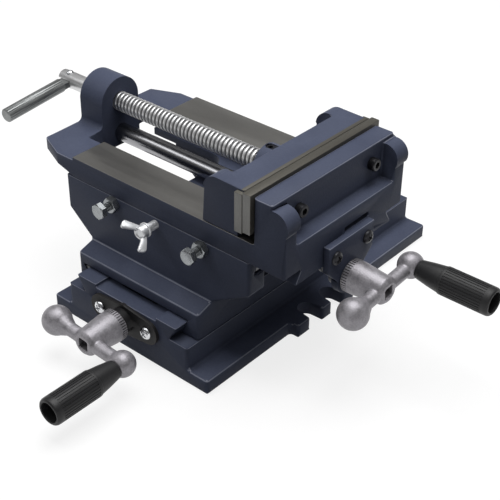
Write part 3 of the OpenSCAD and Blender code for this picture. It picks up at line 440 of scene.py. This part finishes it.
gib_bolt_pitch = 79.0
low, high = span("upper_gib_locknuts")
near_wall_y = high.y
upper_bolt_z = (low.z + high.z) / 2
upper_bolts_x = [(low.x + high.x + side * gib_bolt_pitch) / 2 for side in (-1, 1)]
wing_bolt_x = joint_named("wing_bolt_turn")["pos_m"][0] / MM
bolt_hole_r = 4.0
near_wall_inside_y = -80.0
saddle_y = -40.0
upper_slide_half_x = 60.0
upper_slide_half_y = 44.1
upper_slide_z = 86.0
slide_edge_r = 0.5
wall_top_z = 94.5
wall_top_r = 1.0
lower_slide_half_x = 55.0
lower_slide_z = 41.0
lower_slide_r = 0.4


def saddle_radius(a, b):
    for x in (*upper_bolts_x, wing_bolt_x):
        if both(a, b, lambda p: math.hypot(p.x - x, p.z - upper_bolt_z) < bolt_hole_r
                and p.y < near_wall_inside_y):
            return 0.0
    if both(a, b, lambda p: abs(p.y - saddle_y) < upper_slide_half_y and p.z < upper_slide_z
            and abs(p.x) < upper_slide_half_x):
        return slide_edge_r
    if both(a, b, lambda p: p.z > wall_top_z):
        return wall_top_r
    if both(a, b, lambda p: p.z < lower_slide_z and abs(p.x) < lower_slide_half_x):
        return lower_slide_r
    return outer_corner_r if upright(a, b) else outer_edge_r


painted_casting("saddle_casting", "saddle", "saddle", saddle_radius, outer_corner_r)


# Vise body: the ways, the screw arch and the fixed jaw in one casting, painted like the rest.
# The two way pads are ground bare after painting.
ground_iron = finish(
    "ground_iron", (0.262, 0.255, 0.242), (0.312, 0.305, 0.29), metallic=1.0, rough=(0.40, 0.48),
    grain_mm=0.5, grain_depth=0.12, patch_mm=9.0, stretch=(0.12, 1, 1))
low, high = span("clamp_screw")
clamp_y = (low.y + high.y) / 2
clamp_z = (low.z + high.z) / 2
rod_low, rod_high = span("guide_rod")
rod_z = (rod_low.z + rod_high.z) / 2
clamp_bore_r = 8.5
rod_bore_r = 7.5
way_z = 110.5
way_step = 2.0
way_start = -69.5
way_edge_r = 0.35
jaw_back = 89.3
under_ways_z = 108.0
rails_half_y = 60.0
front_x = 112.0
front_top_z = 106.0
front_edge_r = 0.8
body_corner_r = 2.0
body_edge_r = 1.1


def body_radius(a, b):
    if both(a, b, lambda p: math.hypot(p.y - clamp_y, p.z - clamp_z) < clamp_bore_r):
        return 0.0
    if both(a, b, lambda p: math.hypot(p.y - clamp_y, p.z - rod_z) < rod_bore_r):
        return 0.0
    if both(a, b, lambda p: way_start < p.x < jaw_back
            and way_z - way_step - near_zero < p.z < way_z + near_zero):
        return way_edge_r
    if both(a, b, lambda p: p.z < under_ways_z and p.x < jaw_back and abs(p.y - clamp_y) < rails_half_y):
        return slide_edge_r
    if both(a, b, lambda p: p.x > front_x and p.z < front_top_z):
        return front_edge_r
    return body_corner_r if upright(a, b) else body_edge_r


body = painted_casting("vise_body", "vise_body_casting", "vise", body_radius, outer_corner_r, shortest=1.9)
body.data.materials.append(ground_iron)
for face in body.data.polygons:
    middle = face.center / MM
    if face.normal.z > 0.5 and abs(middle.z - way_z) < 0.4 and way_start - 0.5 < middle.x < jaw_back:
        face.material_index = 2


# Jaw plates: hardened steel bars, ground on the long faces and sawn at the ends.
# Each is screwed on from behind its jaw.
plate_steel = finish(
    "plate_steel", (0.078, 0.073, 0.062), (0.105, 0.100, 0.086), metallic=0.4, rough=(0.44, 0.54),
    grain_mm=0.4, grain_depth=0.10, patch_mm=12.0, stretch=(1, 0.1, 1), shine=0.3)
sawn_steel = finish(
    "sawn_steel", (0.14, 0.139, 0.134), (0.21, 0.207, 0.198), metallic=0.8, rough=(0.45, 0.6),
    grain_mm=0.4, grain_depth=0.20, patch_mm=5.0, stretch=(1, 1, 0.15))
ground_edge_r = 0.25
for node, body_name in (("fixed_jaw_plate", "vise"), ("movable_jaw_plate", "jaw")):
    plate = copy_of_solid(node, node + "_ground")
    round_edges(plate, evenly(ground_edge_r), ground_edge_r)
    dress(plate, plate_steel, "ground_steel", body_name, node)
    plate.data.materials.append(sawn_steel)
    for face in plate.data.polygons:
        if abs(face.normal.y) > 0.95:
            face.material_index = 1


# Socket head screws behind the jaw plates: blackened steel, a knurled head with a hex socket.
# One is made and copied to the four holes.
def pick_faces(piece, wanted):
    # Leaves the piece in edit mode with only the wanted faces selected
    open_mesh(piece)
    bpy.ops.mesh.select_mode(type="FACE")
    bpy.ops.mesh.select_all(action="DESELECT")
    close_mesh()
    for face in piece.data.polygons:
        face.select = wanted(face)
    bpy.ops.object.mode_set(mode="EDIT")


def out_from_axis(face):
    return math.hypot(*face.center.xy) / MM


def column(face, sides):
    # Which of the equal columns round a turned piece a face belongs to
    return math.floor(math.degrees(math.atan2(face.center.y, face.center.x)) / (360 / sides))


cap_r = 4.25
cap_h = 5.0
cap_shank_r = 2.5
cap_shank_len = 17.9
cap_sides = 72
socket_r = 2.31
socket_len = 5.0
cap = turned("cap_screw", [
    (0, -cap_shank_len), (cap_shank_r, -cap_shank_len), (cap_shank_r, 0), (4.0, 0), (cap_r, 0.4),
    (cap_r, 4.3), (3.7, cap_h), (0, cap_h)], cap_sides)
pick_faces(cap, lambda face: abs(face.normal.z) < 0.1 and out_from_axis(face) > 4.0
           and column(face, cap_sides) % 2 == 0)
bpy.ops.mesh.inset(thickness=0.05 * MM, depth=-0.15 * MM, use_individual=True)
close_mesh()
bpy.ops.mesh.primitive_cylinder_add(vertices=6, radius=socket_r * MM, depth=socket_len * MM,
                                    location=(0, 0, cap_h * MM))
cut(cap, bpy.context.object)
smooth(cap, 20)
for node, body_name, way in (("fixed_jaw_screws", "vise", 1), ("movable_jaw_screws", "jaw", -1)):
    low, high = span(node)
    seat_x = high.x - cap_h if way > 0 else low.x + cap_h
    pair = []
    for y, turn in ((low.y + cap_r, 12), (high.y - cap_r, 35)):
        pair.append(another(cap, node))
        put(pair[-1], at(seat_x, y, (low.z + high.z) / 2, (way, 0, 0), turn))
    dress(joined(node + "_pair", *pair), black_oxide, "black_oxide", body_name, node)
bpy.data.objects.remove(cap)


# Upper bearing plate: a painted iron plate with a round eye for the upper feed screw.
# Two black pan head screws hold it on the body's front.
upper_plate_r = 0.9
painted_casting("upper_bearing_plate", "upper_plate", "vise", evenly(upper_plate_r), upper_plate_r,
                shortest=1.2)
low, high = span("upper_plate_screws")
upper_screws_z = (low.z + high.z) / 2
upper_screws = [(high.x - pan_h, y, upper_screws_z) for y in (low.y + pan_r, high.y - pan_r)]
plate_screws("upper_plate_screws", upper_screws, (1, 0, 0), black_oxide, "black_oxide", "vise")
bpy.data.objects.remove(pan_head)


# Movable jaw: a painted casting that slides on the ways, with two round ribs and a boss for the screw.
# Its underside and its front are milled, and the lip over the jaw plate is left bare.
jaw_front_x = 76.5
jaw_bore_r = 8.0
jaw_under_r = 0.4
jaw_front_r = 0.2
jaw_corner_r = 1.6
jaw_edge_r = 1.0
lip_w = 2.6


def jaw_radius(a, b):
    if both(a, b, lambda p: p.z < way_z):
        return jaw_under_r
    if both(a, b, lambda p: p.x > jaw_front_x):
        return jaw_front_r
    if both(a, b, lambda p: math.hypot(p.y - clamp_y, p.z - clamp_z) < jaw_bore_r):
        return 0.0
    return jaw_corner_r if upright(a, b) else jaw_edge_r


jaw = painted_casting("movable_jaw", "movable_jaw_casting", "jaw", jaw_radius, outer_corner_r, shortest=1.9)
jaw.data.materials.append(plate_steel)
bare_from = span("movable_jaw")[1].x - lip_w
bare_above = span("movable_jaw_plate")[1].z
open_mesh(jaw)
bpy.ops.mesh.bisect(plane_co=(bare_from * MM, 0, 0), plane_no=(1, 0, 0))
close_mesh()
for face in jaw.data.polygons:
    middle = face.center / MM
    if middle.x > bare_from and middle.z > bare_above and abs(face.normal.y) < 0.9:
        face.material_index = 2


# Clamp screw: bright turned steel with a rolled thread and a plain head, slotted for the handle.
# Its grooved nose turns in the movable jaw's boss.
def threaded(name, length, crest, root, pitch, steps=28):
    # One pitch of the thread's outline wound into a helix and sawn square at both ends
    shoulder = crest - 0.12 * (crest - root)
    outline = ((root, 0), (root, 0.10), (shoulder, 0.26), (crest, 0.36), (crest, 0.68), (shoulder, 0.78),
               (root, 0.94), (root, 1))
    spare_turns = 4
    first_turn = 1.6
    piece = drawn(name, [(radius, share * pitch) for radius, share in outline])
    wind = piece.modifiers.new("helix", "SCREW")
    wind.angle = 2 * math.pi
    wind.screw_offset = pitch * MM
    wind.iterations = int(length / pitch) + spare_turns
    wind.steps = wind.render_steps = steps
    apply_all(piece)
    put(piece, Matrix.Translation((0, 0, -first_turn * pitch * MM)))
    tidy_faces(piece)
    bpy.ops.object.mode_set(mode="EDIT")
    for level, keep_low in ((0.0, False), (length * MM, True)):
        bpy.ops.mesh.select_all(action="SELECT")
        bpy.ops.mesh.bisect(plane_co=(0, 0, level), plane_no=(0, 0, 1), use_fill=True,
                            clear_inner=not keep_low, clear_outer=keep_low)
    bpy.ops.mesh.select_all(action="SELECT")
    bpy.ops.mesh.normals_make_consistent(inside=False)
    close_mesh()
    smooth(piece, 38)
    return piece


# Thread roots and the slot are darkened by painted shade
bright_steel = finish(
    "bright_steel", (0.60, 0.60, 0.605), (0.72, 0.72, 0.725), metallic=1.0, rough=(0.36, 0.46),
    grain_mm=1.2, grain_depth=0.03, patch_mm=14.0, stretch=(0.15, 1, 1),
    corner_shade=(0.04, 0.04, 0.045), corner_shade_mm=1.4, corner_shade_share=0.85)
low, high = span("clamp_screw")
thread_from = 32.0
thread_len = 159.5
clamp_pitch = 3.35
clamp_crest_r = 7.0
clamp_root_r = 5.5
nose_gap = 0.4
along = (1, 0, 0)
head = turned("clamp_head", [
    (0, 0), (4.4, 0), (5.3, 0.3), (5.9, 1.1), (6, 1.8), (6, 29.8), (6.7, 30.1), (6.9, 30.7), (6.9, 31.4),
    (6.5, thread_from), (6.5, 33), (0, 33)])
put(head, at(low.x, clamp_y, clamp_z, along))
thread = threaded("clamp_thread", thread_len, clamp_crest_r, clamp_root_r, clamp_pitch)
put(thread, at(low.x + thread_from, clamp_y, clamp_z, along))
nose = turned("clamp_nose", [
    (0, 0), (5, 0), (5, 7.2), (6.5, 7.2), (6.9, 7.6), (6.9, 25.3), (5.5, 26.7), (0, 26.7)])
put(nose, at(low.x + thread_from + thread_len + nose_gap, clamp_y, clamp_z, along))
fold = joint_named("handle_fold")
rivet_place = at(*(Vector(fold["pos_m"]) / MM), -Vector(fold["axis"]))
slot_cutter = bar((20, 30, 5.0), (-5.2, 0, 0))
rivet_drill = turned("rivet_drill", [(0, -15), (2.1, -15), (2.1, 15), (0, 15)], 32)
for tool in (slot_cutter, rivet_drill):
    put(tool, rivet_place)
    cut(head, tool)
smooth(head)
clamp_screw = joined("clamp_screw_bar", head, thread, nose)
dress(clamp_screw, bright_steel, "bright_steel", "clamp", "clamp_screw")


# Clamp handle: a plated round bar with a flat tongue.
# It folds on a domed rivet in the screw's head, and the rivet's own solid is only chromed.
def show_solid(node, material):
    # A solid whose shape is right stays as it is and only gets its material
    solid = frame["nodes"][node]
    solid.data.materials.clear()
    solid.data.materials.append(material)


satin_steel = finish(
    "satin_steel", (0.235, 0.245, 0.245), (0.295, 0.305, 0.305), metallic=1.0, rough=(0.42, 0.50),
    grain_mm=2.0, grain_depth=0.03, patch_mm=10.0)
handle_edge_r = 0.45
handle = copy_of_solid("clamp_handle", "clamp_handle_bar")
round_edges(handle, evenly(handle_edge_r), handle_edge_r, shortest=0.7)
dress(handle, satin_steel, "bright_steel", "handle", "clamp_handle")
show_solid("clamp_handle_rivet", chrome)


# Gib bolts and locknuts: zinc plated hex bolts with the thread showing between head and nut.
# They press the gib strips of the upper slide, and of the lower slide on the far side.
def hexagon(name, bottom, top, flats, chamfer_bottom):
    bpy.ops.mesh.primitive_cylinder_add(vertices=6, radius=flats / math.sqrt(3) * MM,
                                        depth=(top - bottom) * MM, location=(0, 0, (bottom + top) / 2 * MM))
    piece = bpy.context.object
    piece.name = name
    bpy.ops.object.transform_apply(location=True, rotation=True, scale=True)
    wide = flats * 0.59
    tight = flats * 0.48
    fall = 0.8
    slope = (wide - tight) / fall
    lathe = [(0, bottom - 1), (tight - slope if chamfer_bottom else wide, bottom - 1), (wide, bottom + fall),
             (wide, top - fall), (tight - slope, top + 1), (0, top + 1)]
    cut(piece, turned("chamfer", lathe, 64), "INTERSECT")
    return piece


# Thread roots and corners are darkened by painted shade
zinc = finish(
    "zinc_plate", (0.245, 0.26, 0.27), (0.345, 0.36, 0.37), metallic=0.85, rough=(0.20, 0.30),
    grain_mm=1.5, grain_depth=0.05, patch_mm=5.0, corner_shade=(0.08, 0.08, 0.08), corner_shade_mm=1.2, corner_shade_share=0.35)
bolt_reach = 15.0
bolt_head_h = 4.0
hex_flats = 10.0
nut_h = 5.0
nut_bore_r = 3.1
nut_turn = 17
small_crest_r = 3.0
small_root_r = 2.4
small_pitch = 1.0
small_steps = 24
bolt_thread_len = 18.0
bolt_point = 6.5
bolt_head = hexagon("bolt_head", bolt_reach - bolt_head_h, bolt_reach, hex_flats, False)
pick_faces(bolt_head, lambda face: face.normal.z > 0.99)
bpy.ops.mesh.inset(thickness=0.9 * MM, depth=-0.25 * MM)
close_mesh()
bolt_thread = threaded("bolt_thread", bolt_thread_len, small_crest_r, small_root_r, small_pitch, small_steps)
put(bolt_thread, Matrix.Translation((0, 0, -bolt_point * MM)))
bolt = joined("gib_bolt", bolt_head, bolt_thread)
smooth(bolt, 30)
nut = hexagon("locknut", 0.0, nut_h, hex_flats, True)
cut(nut, turned("nut_drill", [(0, -2), (nut_bore_r, -2), (nut_bore_r, 7), (0, 7)], 32))
smooth(nut, 30)
low, high = span("lower_gib_locknuts")
far_wall_x = high.x
lower_bolt_z = (low.z + high.z) / 2
lower_bolts_y = [(low.y + high.y + side * gib_bolt_pitch) / 2 for side in (-1, 1)]
upper_bolt_places = [at(x, near_wall_y, upper_bolt_z, (0, -1, 0), turn)
                     for x, turn in zip(upper_bolts_x, (8, 24))]
lower_bolt_places = [at(far_wall_x, y, lower_bolt_z, (-1, 0, 0), turn)
                     for y, turn in zip(lower_bolts_y, (15, 0))]
for slide, places in (("upper", upper_bolt_places), ("lower", lower_bolt_places)):
    bolts = []
    nuts = []
    for place in places:
        bolts.append(another(bolt, f"{slide}_bolt"))
        put(bolts[-1], place)
        nuts.append(another(nut, f"{slide}_nut"))
        put(nuts[-1], place @ Matrix.Rotation(math.radians(nut_turn), 4, "Z"))
    dress(joined(f"{slide}_gib_bolt_pair", *bolts), zinc, "zinc_plate", "saddle", f"{slide}_gib_bolts")
    dress(joined(f"{slide}_gib_nut_pair", *nuts), zinc, "zinc_plate", "saddle", f"{slide}_gib_locknuts")
bpy.data.objects.remove(bolt)
bpy.data.objects.remove(nut)


# Wing bolt: cast and plated, with a ring by the thread, a cupped hub and two thumb wings.
# Its point presses the gib strip and locks the upper slide.
# Thread roots and corners are darkened by painted shade
bright_zinc = finish(
    "bright_zinc", (0.70, 0.71, 0.73), (0.84, 0.85, 0.87), metallic=0.55, rough=(0.28, 0.40),
    grain_mm=1.5, grain_depth=0.05, patch_mm=5.0, corner_shade=(0.12, 0.12, 0.12), corner_shade_mm=1.5, corner_shade_share=0.5)
wing_turn = -39
wing_t = 2.6
wing_edge_r = 0.3
wing_thread_len = 14.4
wing_point = 6.3
wing_thread = threaded("wing_thread", wing_thread_len, small_crest_r, small_root_r, small_pitch, small_steps)
put(wing_thread, Matrix.Translation((0, 0, -wing_point * MM)))
wing_hub = turned("wing_hub", [
    (0, 8.0), (4.6, 8.0), (5.0, 8.3), (5.0, 9.3), (4.5, 9.7), (4.3, 12.5), (4.4, 14.5), (4.1, 14.95),
    (3.4, 15.0), (2.6, 14.2), (0, 14.0)])
wing = drawn("wing", [
    (2.5, 10.2), (7.0, 13.9), (11.2, 17.6), (12.0, 18.7), (11.8, 20.0), (10.0, 22.3), (9.0, 22.5),
    (8.1, 21.9), (4.9, 17.2), (2.5, 14.7), (2.5, 10.2)])
tidy_faces(wing)
open_mesh(wing)
bpy.ops.transform.translate(value=(0, -wing_t / 2 * MM, 0))
bpy.ops.mesh.edge_face_add()
bpy.ops.mesh.extrude_region_move(TRANSFORM_OT_translate={"value": (0, wing_t * MM, 0)})
close_mesh()
tidy_faces(wing)
soft = wing.modifiers.new("soft edge", "BEVEL")
soft.width = wing_edge_r * MM
soft.segments = 3
soft.limit_method = "ANGLE"
soft.angle_limit = math.radians(60)
apply_all(wing)
far_wing = another(wing, "far_wing")
put(far_wing, Matrix.Rotation(math.pi, 4, "Z"))
wing_bolt = joined("wing_bolt_plated", wing_thread, wing_hub, wing, far_wing)
put(wing_bolt, at(wing_bolt_x, near_wall_y, upper_bolt_z, (0, -1, 0), wing_turn))
smooth(wing_bolt, 40)
dress(wing_bolt, bright_zinc, "zinc_plate", "lock", "wing_bolt")


# Feed screws: turned steel with a thread, a thrust collar, a journal and a squared end for the crank.
# They are oiled, so the steel is darker than the clamp screw's.
oily_steel = finish(
    "oily_steel", (0.07, 0.07, 0.075), (0.13, 0.13, 0.135), metallic=1.0, rough=(0.3, 0.45),
    grain_mm=1.2, grain_depth=0.05, patch_mm=8.0)
hub_len = 29.5
drive_w = 7.6
drive_from = 11.0
drive_sink = 6.1
drive_edge = 0.5
upper_screw_len = 188.0
lower_screw_len = 219.0
feed_crest_r = 6.5
feed_root_r = 5.2
feed_lead = 3.0
thread_stop = 6.2
collar_r = 10.0
journal_r = 6.0
journal_len = 12.0


def feed_screw(name, length, hub_from, place):
    screw_thread = threaded(name + "_thread", length - thread_stop, feed_crest_r, feed_root_r, feed_lead, 24)
    put(screw_thread, Matrix.Translation((0, 0, -length * MM)))
    journal_end = hub_from + journal_len
    shank = turned(name + "_shank", [
        (0, -6.4), (feed_root_r, -6.4), (feed_root_r, -5.2), (9.6, -5.2), (collar_r, -4.8), (collar_r, -0.6),
        (9.6, -0.2), (journal_r, -0.2), (journal_r, hub_from + 11.6), (5.6, journal_end), (0, journal_end)])
    drive_len = hub_len - drive_sink - drive_from
    square = bar((drive_w, drive_w, drive_len), (0, 0, hub_from + drive_from + drive_len / 2))
    edge = square.modifiers.new("edge", "BEVEL")
    edge.width = drive_edge * MM
    edge.segments = 2
    apply_all(square)
    piece = joined(name, screw_thread, shank, square)
    put(piece, place)
    smooth(piece, 34)
    return piece


def on_axis(joint_name, turn):
    # Where a feed screw's bearing face is: z runs out along the crank's axis, x towards the handle ball
    joint = joint_named(joint_name)
    out = Vector(joint["axis"])
    start = Vector((0, 1, 0)) if abs(out.x) > 0.5 else Vector((1, 0, 0))
    side = Matrix.Rotation(math.radians(turn), 3, out) @ start
    place = Matrix((side, out.cross(side), out)).transposed().to_4x4()
    place.translation = Vector(joint["pos_m"])
    return place


upper_place = on_axis("upper_crank_turn", 4.0)
lower_place = on_axis("lower_crank_turn", -3.5)
upper_hub = span("upper_crank")[0].x - upper_place.translation.x / MM
lower_hub = lower_place.translation.y / MM - span("lower_crank")[1].y
upper_feed = feed_screw("upper_feed_bar", upper_screw_len, upper_hub, upper_place)
dress(upper_feed, oily_steel, "bright_steel", "upper_drive", "upper_feed_screw")
lower_feed = feed_screw("lower_feed_bar", lower_screw_len, lower_hub, lower_place)
dress(lower_feed, oily_steel, "bright_steel", "lower_drive", "lower_feed_screw")


# Cranks: sand cast in one piece, hub, arm, handle ball and counterweight, left as cast and only tumbled.
# The hub's end is turned and has forty short graduation notches across its edge, laid in near-black as
# painted shade.
# Corners are darkened by painted shade
cast_grey = finish(
    "cast_grey", (0.255, 0.245, 0.262), (0.435, 0.42, 0.45), metallic=0.65, rough=(0.42, 0.58),
    grain_mm=1.0, grain_depth=0.6, patch_mm=4.0, shine=0.4, corner_shade=(0.05, 0.048, 0.046), corner_shade_mm=5.0)
# Near-black painted shade for the graduation notches
notch_shade = finish(
    "notch_shade", (0.012, 0.012, 0.013), (0.03, 0.03, 0.03), metallic=0.0, rough=(0.6, 0.8),
    grain_mm=0.8, grain_depth=0.2)
sand_mm = 0.5
seat_r = 10.2
seat_len = 6.1
dial_in_r = 9.9
dial_r = 11.25
dial_len = 7.6
dial_sides = 120
notch_len = 4.4
cranks = (("upper", upper_place, upper_hub), ("lower", lower_place, lower_hub))
for slide, place, hub_from in cranks:
    hub_face = place @ Matrix.Translation((0, 0, hub_from * MM))
    crank = copy_of_solid(slide + "_crank", slide + "_crank_casting")
    seat = turned("dial_seat", [
        (seat_r, -1), (13, -1), (13, seat_len), (seat_r, seat_len), (seat_r, -1)], 64)
    put(seat, hub_face)
    cut(crank, seat)
    grid = crank.modifiers.new("sand", "REMESH")
    grid.mode = "VOXEL"
    grid.voxel_size = sand_mm * MM
    soft = crank.modifiers.new("fettling", "SMOOTH")
    soft.factor = 0.5
    soft.iterations = 10
    apply_all(crank)
    bpy.ops.object.shade_smooth()
    dress(crank, cast_grey, "cast_aluminium", slide + "_drive", slide + "_crank")
    dial = turned(slide + "_dial", [
        (dial_in_r, 0.05), (11.0, 0.05), (dial_r, 0.3), (dial_r, notch_len), (11.22, 6.6), (11.0, dial_len),
        (dial_in_r, dial_len), (dial_in_r, 0.05)], dial_sides)
    dial.data.materials.append(cast_grey)
    dial.data.materials.append(notch_shade)
    dial.active_material_index = 1
    pick_faces(dial, lambda face: out_from_axis(face) > 11.2 and abs(face.normal.z) < 0.1
               and face.center.z < notch_len * MM and column(face, dial_sides) % 3 == 0)
    bpy.ops.mesh.inset(thickness=0.02 * MM, depth=-0.6 * MM, use_individual=True)
    # The cut notches get the near-black painted shade
    bpy.ops.object.material_slot_assign()
    close_mesh()
    put(dial, hub_face)
    smooth(dial, 30)
    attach(dial, slide + "_drive")


# Grips: moulded black plastic, a slim neck and a fluted barrel with an open end.
# They spin on shoulder screws in the handle balls.
grip_plastic = finish(
    "grip_plastic", (0.012, 0.012, 0.013), (0.020, 0.020, 0.021), metallic=0.0, rough=(0.4, 0.55),
    grain_mm=0.7, grain_depth=0.12, shine=0.4)
ball_reach = 31.0
grip_from = span("upper_grip")[0].x - span("upper_crank")[0].x
grip_bore_r = 3.06
grip_r = 9.5
grip_sides = 128
flute_low = 20.0
flute_high = 49.0
for slide, place, hub_from in cranks:
    grip = turned(slide + "_grip_moulding", [
        (grip_bore_r, 0), (5.9, 0), (6.4, 0.5), (6.6, 1.5), (7.9, 9), (8.9, 16.5), (9.0, 17.6), (9.4, 18.0),
        (grip_r, 18.6), (grip_r, flute_low), (grip_r, flute_high), (grip_r, 51), (9.4, 52.2), (9.0, 53.2),
        (8.2, 53.9), (7.4, 54), (6.9, 53.6), (6.8, 53), (6.8, 44), (grip_bore_r, 44), (grip_bore_r, 0)],
        grip_sides)
    pick_faces(grip, lambda face: out_from_axis(face) > 9.2 and flute_low < face.center.z / MM < flute_high
               and column(face, grip_sides) % 4 < 2)
    bpy.ops.mesh.inset(thickness=0.15 * MM, depth=-0.4 * MM)
    close_mesh()
    put(grip, place @ Matrix.Translation(Vector((ball_reach, 0, hub_from + grip_from)) * MM))
    smooth(grip, 25)
    dress(grip, grip_plastic, "grip_plastic", slide + "_handgrip", slide + "_grip")


# Guide rod, gibs, keeper strips, nuts and the small screws inside: turned or milled pieces.
# They are left as the solids are, each in its own metal.
polished_rod = finish(
    "polished_rod", (0.29, 0.29, 0.305), (0.35, 0.35, 0.365), metallic=1.0, rough=(0.20, 0.26),
    grain_mm=1.5, grain_depth=0.02, patch_mm=14.0, stretch=(0.15, 1, 1))
bronze = finish(
    "bronze", (0.42, 0.27, 0.10), (0.58, 0.40, 0.16), metallic=1.0, rough=(0.3, 0.45),
    grain_mm=0.6, grain_depth=0.15, patch_mm=8.0)
show_solid("guide_rod", polished_rod)
for node in ("lower_gib", "upper_gib", "keeper_strips", "upper_grip_spindle", "lower_grip_spindle"):
    show_solid(node, oily_steel)
for node in ("lower_feed_nut", "upper_feed_nut"):
    show_solid(node, bronze)
for node in ("lower_nut_screws", "upper_nut_screws", "keeper_screws", "clamp_retaining_screw",
             "upper_crank_setscrew", "lower_crank_setscrew"):
    show_solid(node, black_oxide)


# Floor, light and camera: a sheet of white paper, turned up far away, under a dome that fades to the sides.
# A broad soft lamp hangs overhead and a weaker strip lights the near side.
# The camera stands where the photograph's did.
floor_size = 30.0
floor_edge = 3.0
floor_z = -0.4 * MM
paper_grey = (0.24, 0.24, 0.24, 1)
paper_bounce = (0.08, 0.08, 0.08, 1)
paper_glow = 0.8
bpy.ops.mesh.primitive_plane_add(size=floor_size, location=(0, 0, floor_z))
floor = bpy.context.object
floor.name = "floor"
bpy.ops.object.mode_set(mode="EDIT")
bpy.ops.mesh.select_mode(type="EDGE")
bpy.ops.mesh.select_all(action="SELECT")
bpy.ops.mesh.extrude_edges_move(TRANSFORM_OT_translate={"value": (0, 0, floor_edge)})
close_mesh()
paper = bpy.data.materials.new("white_paper")
paper.use_nodes = True
tree = paper.node_tree
tree.nodes.clear()
output = tree.nodes.new("ShaderNodeOutputMaterial")
matte = tree.nodes.new("ShaderNodeBsdfDiffuse")
matte.inputs["Color"].default_value = paper_grey
dull = tree.nodes.new("ShaderNodeBsdfDiffuse")
dull.inputs["Color"].default_value = paper_bounce
glow = tree.nodes.new("ShaderNodeEmission")
glow.inputs["Strength"].default_value = paper_glow
path = tree.nodes.new("ShaderNodeLightPath")
seen = path.outputs["Is Camera Ray"]
for ray in ("Is Glossy Ray", "Is Transmission Ray"):
    either = tree.nodes.new("ShaderNodeMath")
    either.operation = "MAXIMUM"
    tree.links.new(seen, either.inputs[0])
    tree.links.new(path.outputs[ray], either.inputs[1])
    seen = either.outputs[0]
white = tree.nodes.new("ShaderNodeAddShader")
tree.links.new(matte.outputs[0], white.inputs[0])
tree.links.new(glow.outputs[0], white.inputs[1])
total = tree.nodes.new("ShaderNodeMixShader")
tree.links.new(seen, total.inputs[0])
tree.links.new(dull.outputs[0], total.inputs[1])
tree.links.new(white.outputs[0], total.inputs[2])
tree.links.new(total.outputs[0], output.inputs["Surface"])
floor.data.materials.append(paper)

dome_low = 0.02
dome_high = 0.39
world = bpy.data.worlds.new("studio")
bpy.context.scene.world = world
world.use_nodes = True
tree = world.node_tree
sky = tree.nodes["Background"]
sky.inputs["Color"].default_value = (1, 1, 1, 1)
direction = tree.nodes.new("ShaderNodeTexCoord")
axes = tree.nodes.new("ShaderNodeSeparateXYZ")
tree.links.new(direction.outputs["Generated"], axes.inputs["Vector"])
dome = tree.nodes.new("ShaderNodeMapRange")
dome.interpolation_type = "SMOOTHSTEP"
dome.inputs["To Min"].default_value = dome_low
dome.inputs["To Max"].default_value = dome_high
tree.links.new(axes.outputs["Z"], dome.inputs["Value"])
tree.links.new(dome.outputs["Result"], sky.inputs["Strength"])

lamp_aim = Vector((0, -0.04, 0.08))


def soft_lamp(name, wide, tall, power, place):
    lamp = bpy.data.lights.new(name, "AREA")
    lamp.shape = "RECTANGLE"
    lamp.size = wide
    lamp.size_y = tall
    lamp.energy = power
    stand = bpy.data.objects.new(name, lamp)
    bpy.context.scene.collection.objects.link(stand)
    stand.location = place
    stand.rotation_euler = (lamp_aim - stand.location).to_track_quat("-Z", "Y").to_euler()


soft_lamp("overhead_softbox", wide=1.0, tall=1.0, power=15.2, place=(-0.01, 0.10, 1.3))
soft_lamp("side_strip", wide=0.9, tall=0.34, power=2.4, place=(-0.81, -0.72, 1.14))

azimuth = math.radians(40.38)
height = math.radians(33.91)
roll = math.radians(0.64)
camera_place = Vector((449.3, -526.6, 481.8)) * MM
back = Vector((math.sin(azimuth) * math.cos(height), -math.cos(azimuth) * math.cos(height), math.sin(height)))
level = Vector((math.cos(azimuth), math.sin(azimuth), 0))
rise = back.cross(level)
right = math.cos(roll) * level + math.sin(roll) * rise
up = math.cos(roll) * rise - math.sin(roll) * level
eye = bpy.data.cameras.new("camera")
eye.lens = 81.9
eye.sensor_width = 36
eye.clip_start = 0.01
camera = bpy.data.objects.new("camera", eye)
bpy.context.scene.collection.objects.link(camera)
view = Matrix((right, up, back)).transposed().to_4x4()
view.translation = camera_place
camera.matrix_world = view
bpy.context.scene.camera = camera
bpy.context.scene.view_settings.view_transform = "Standard"
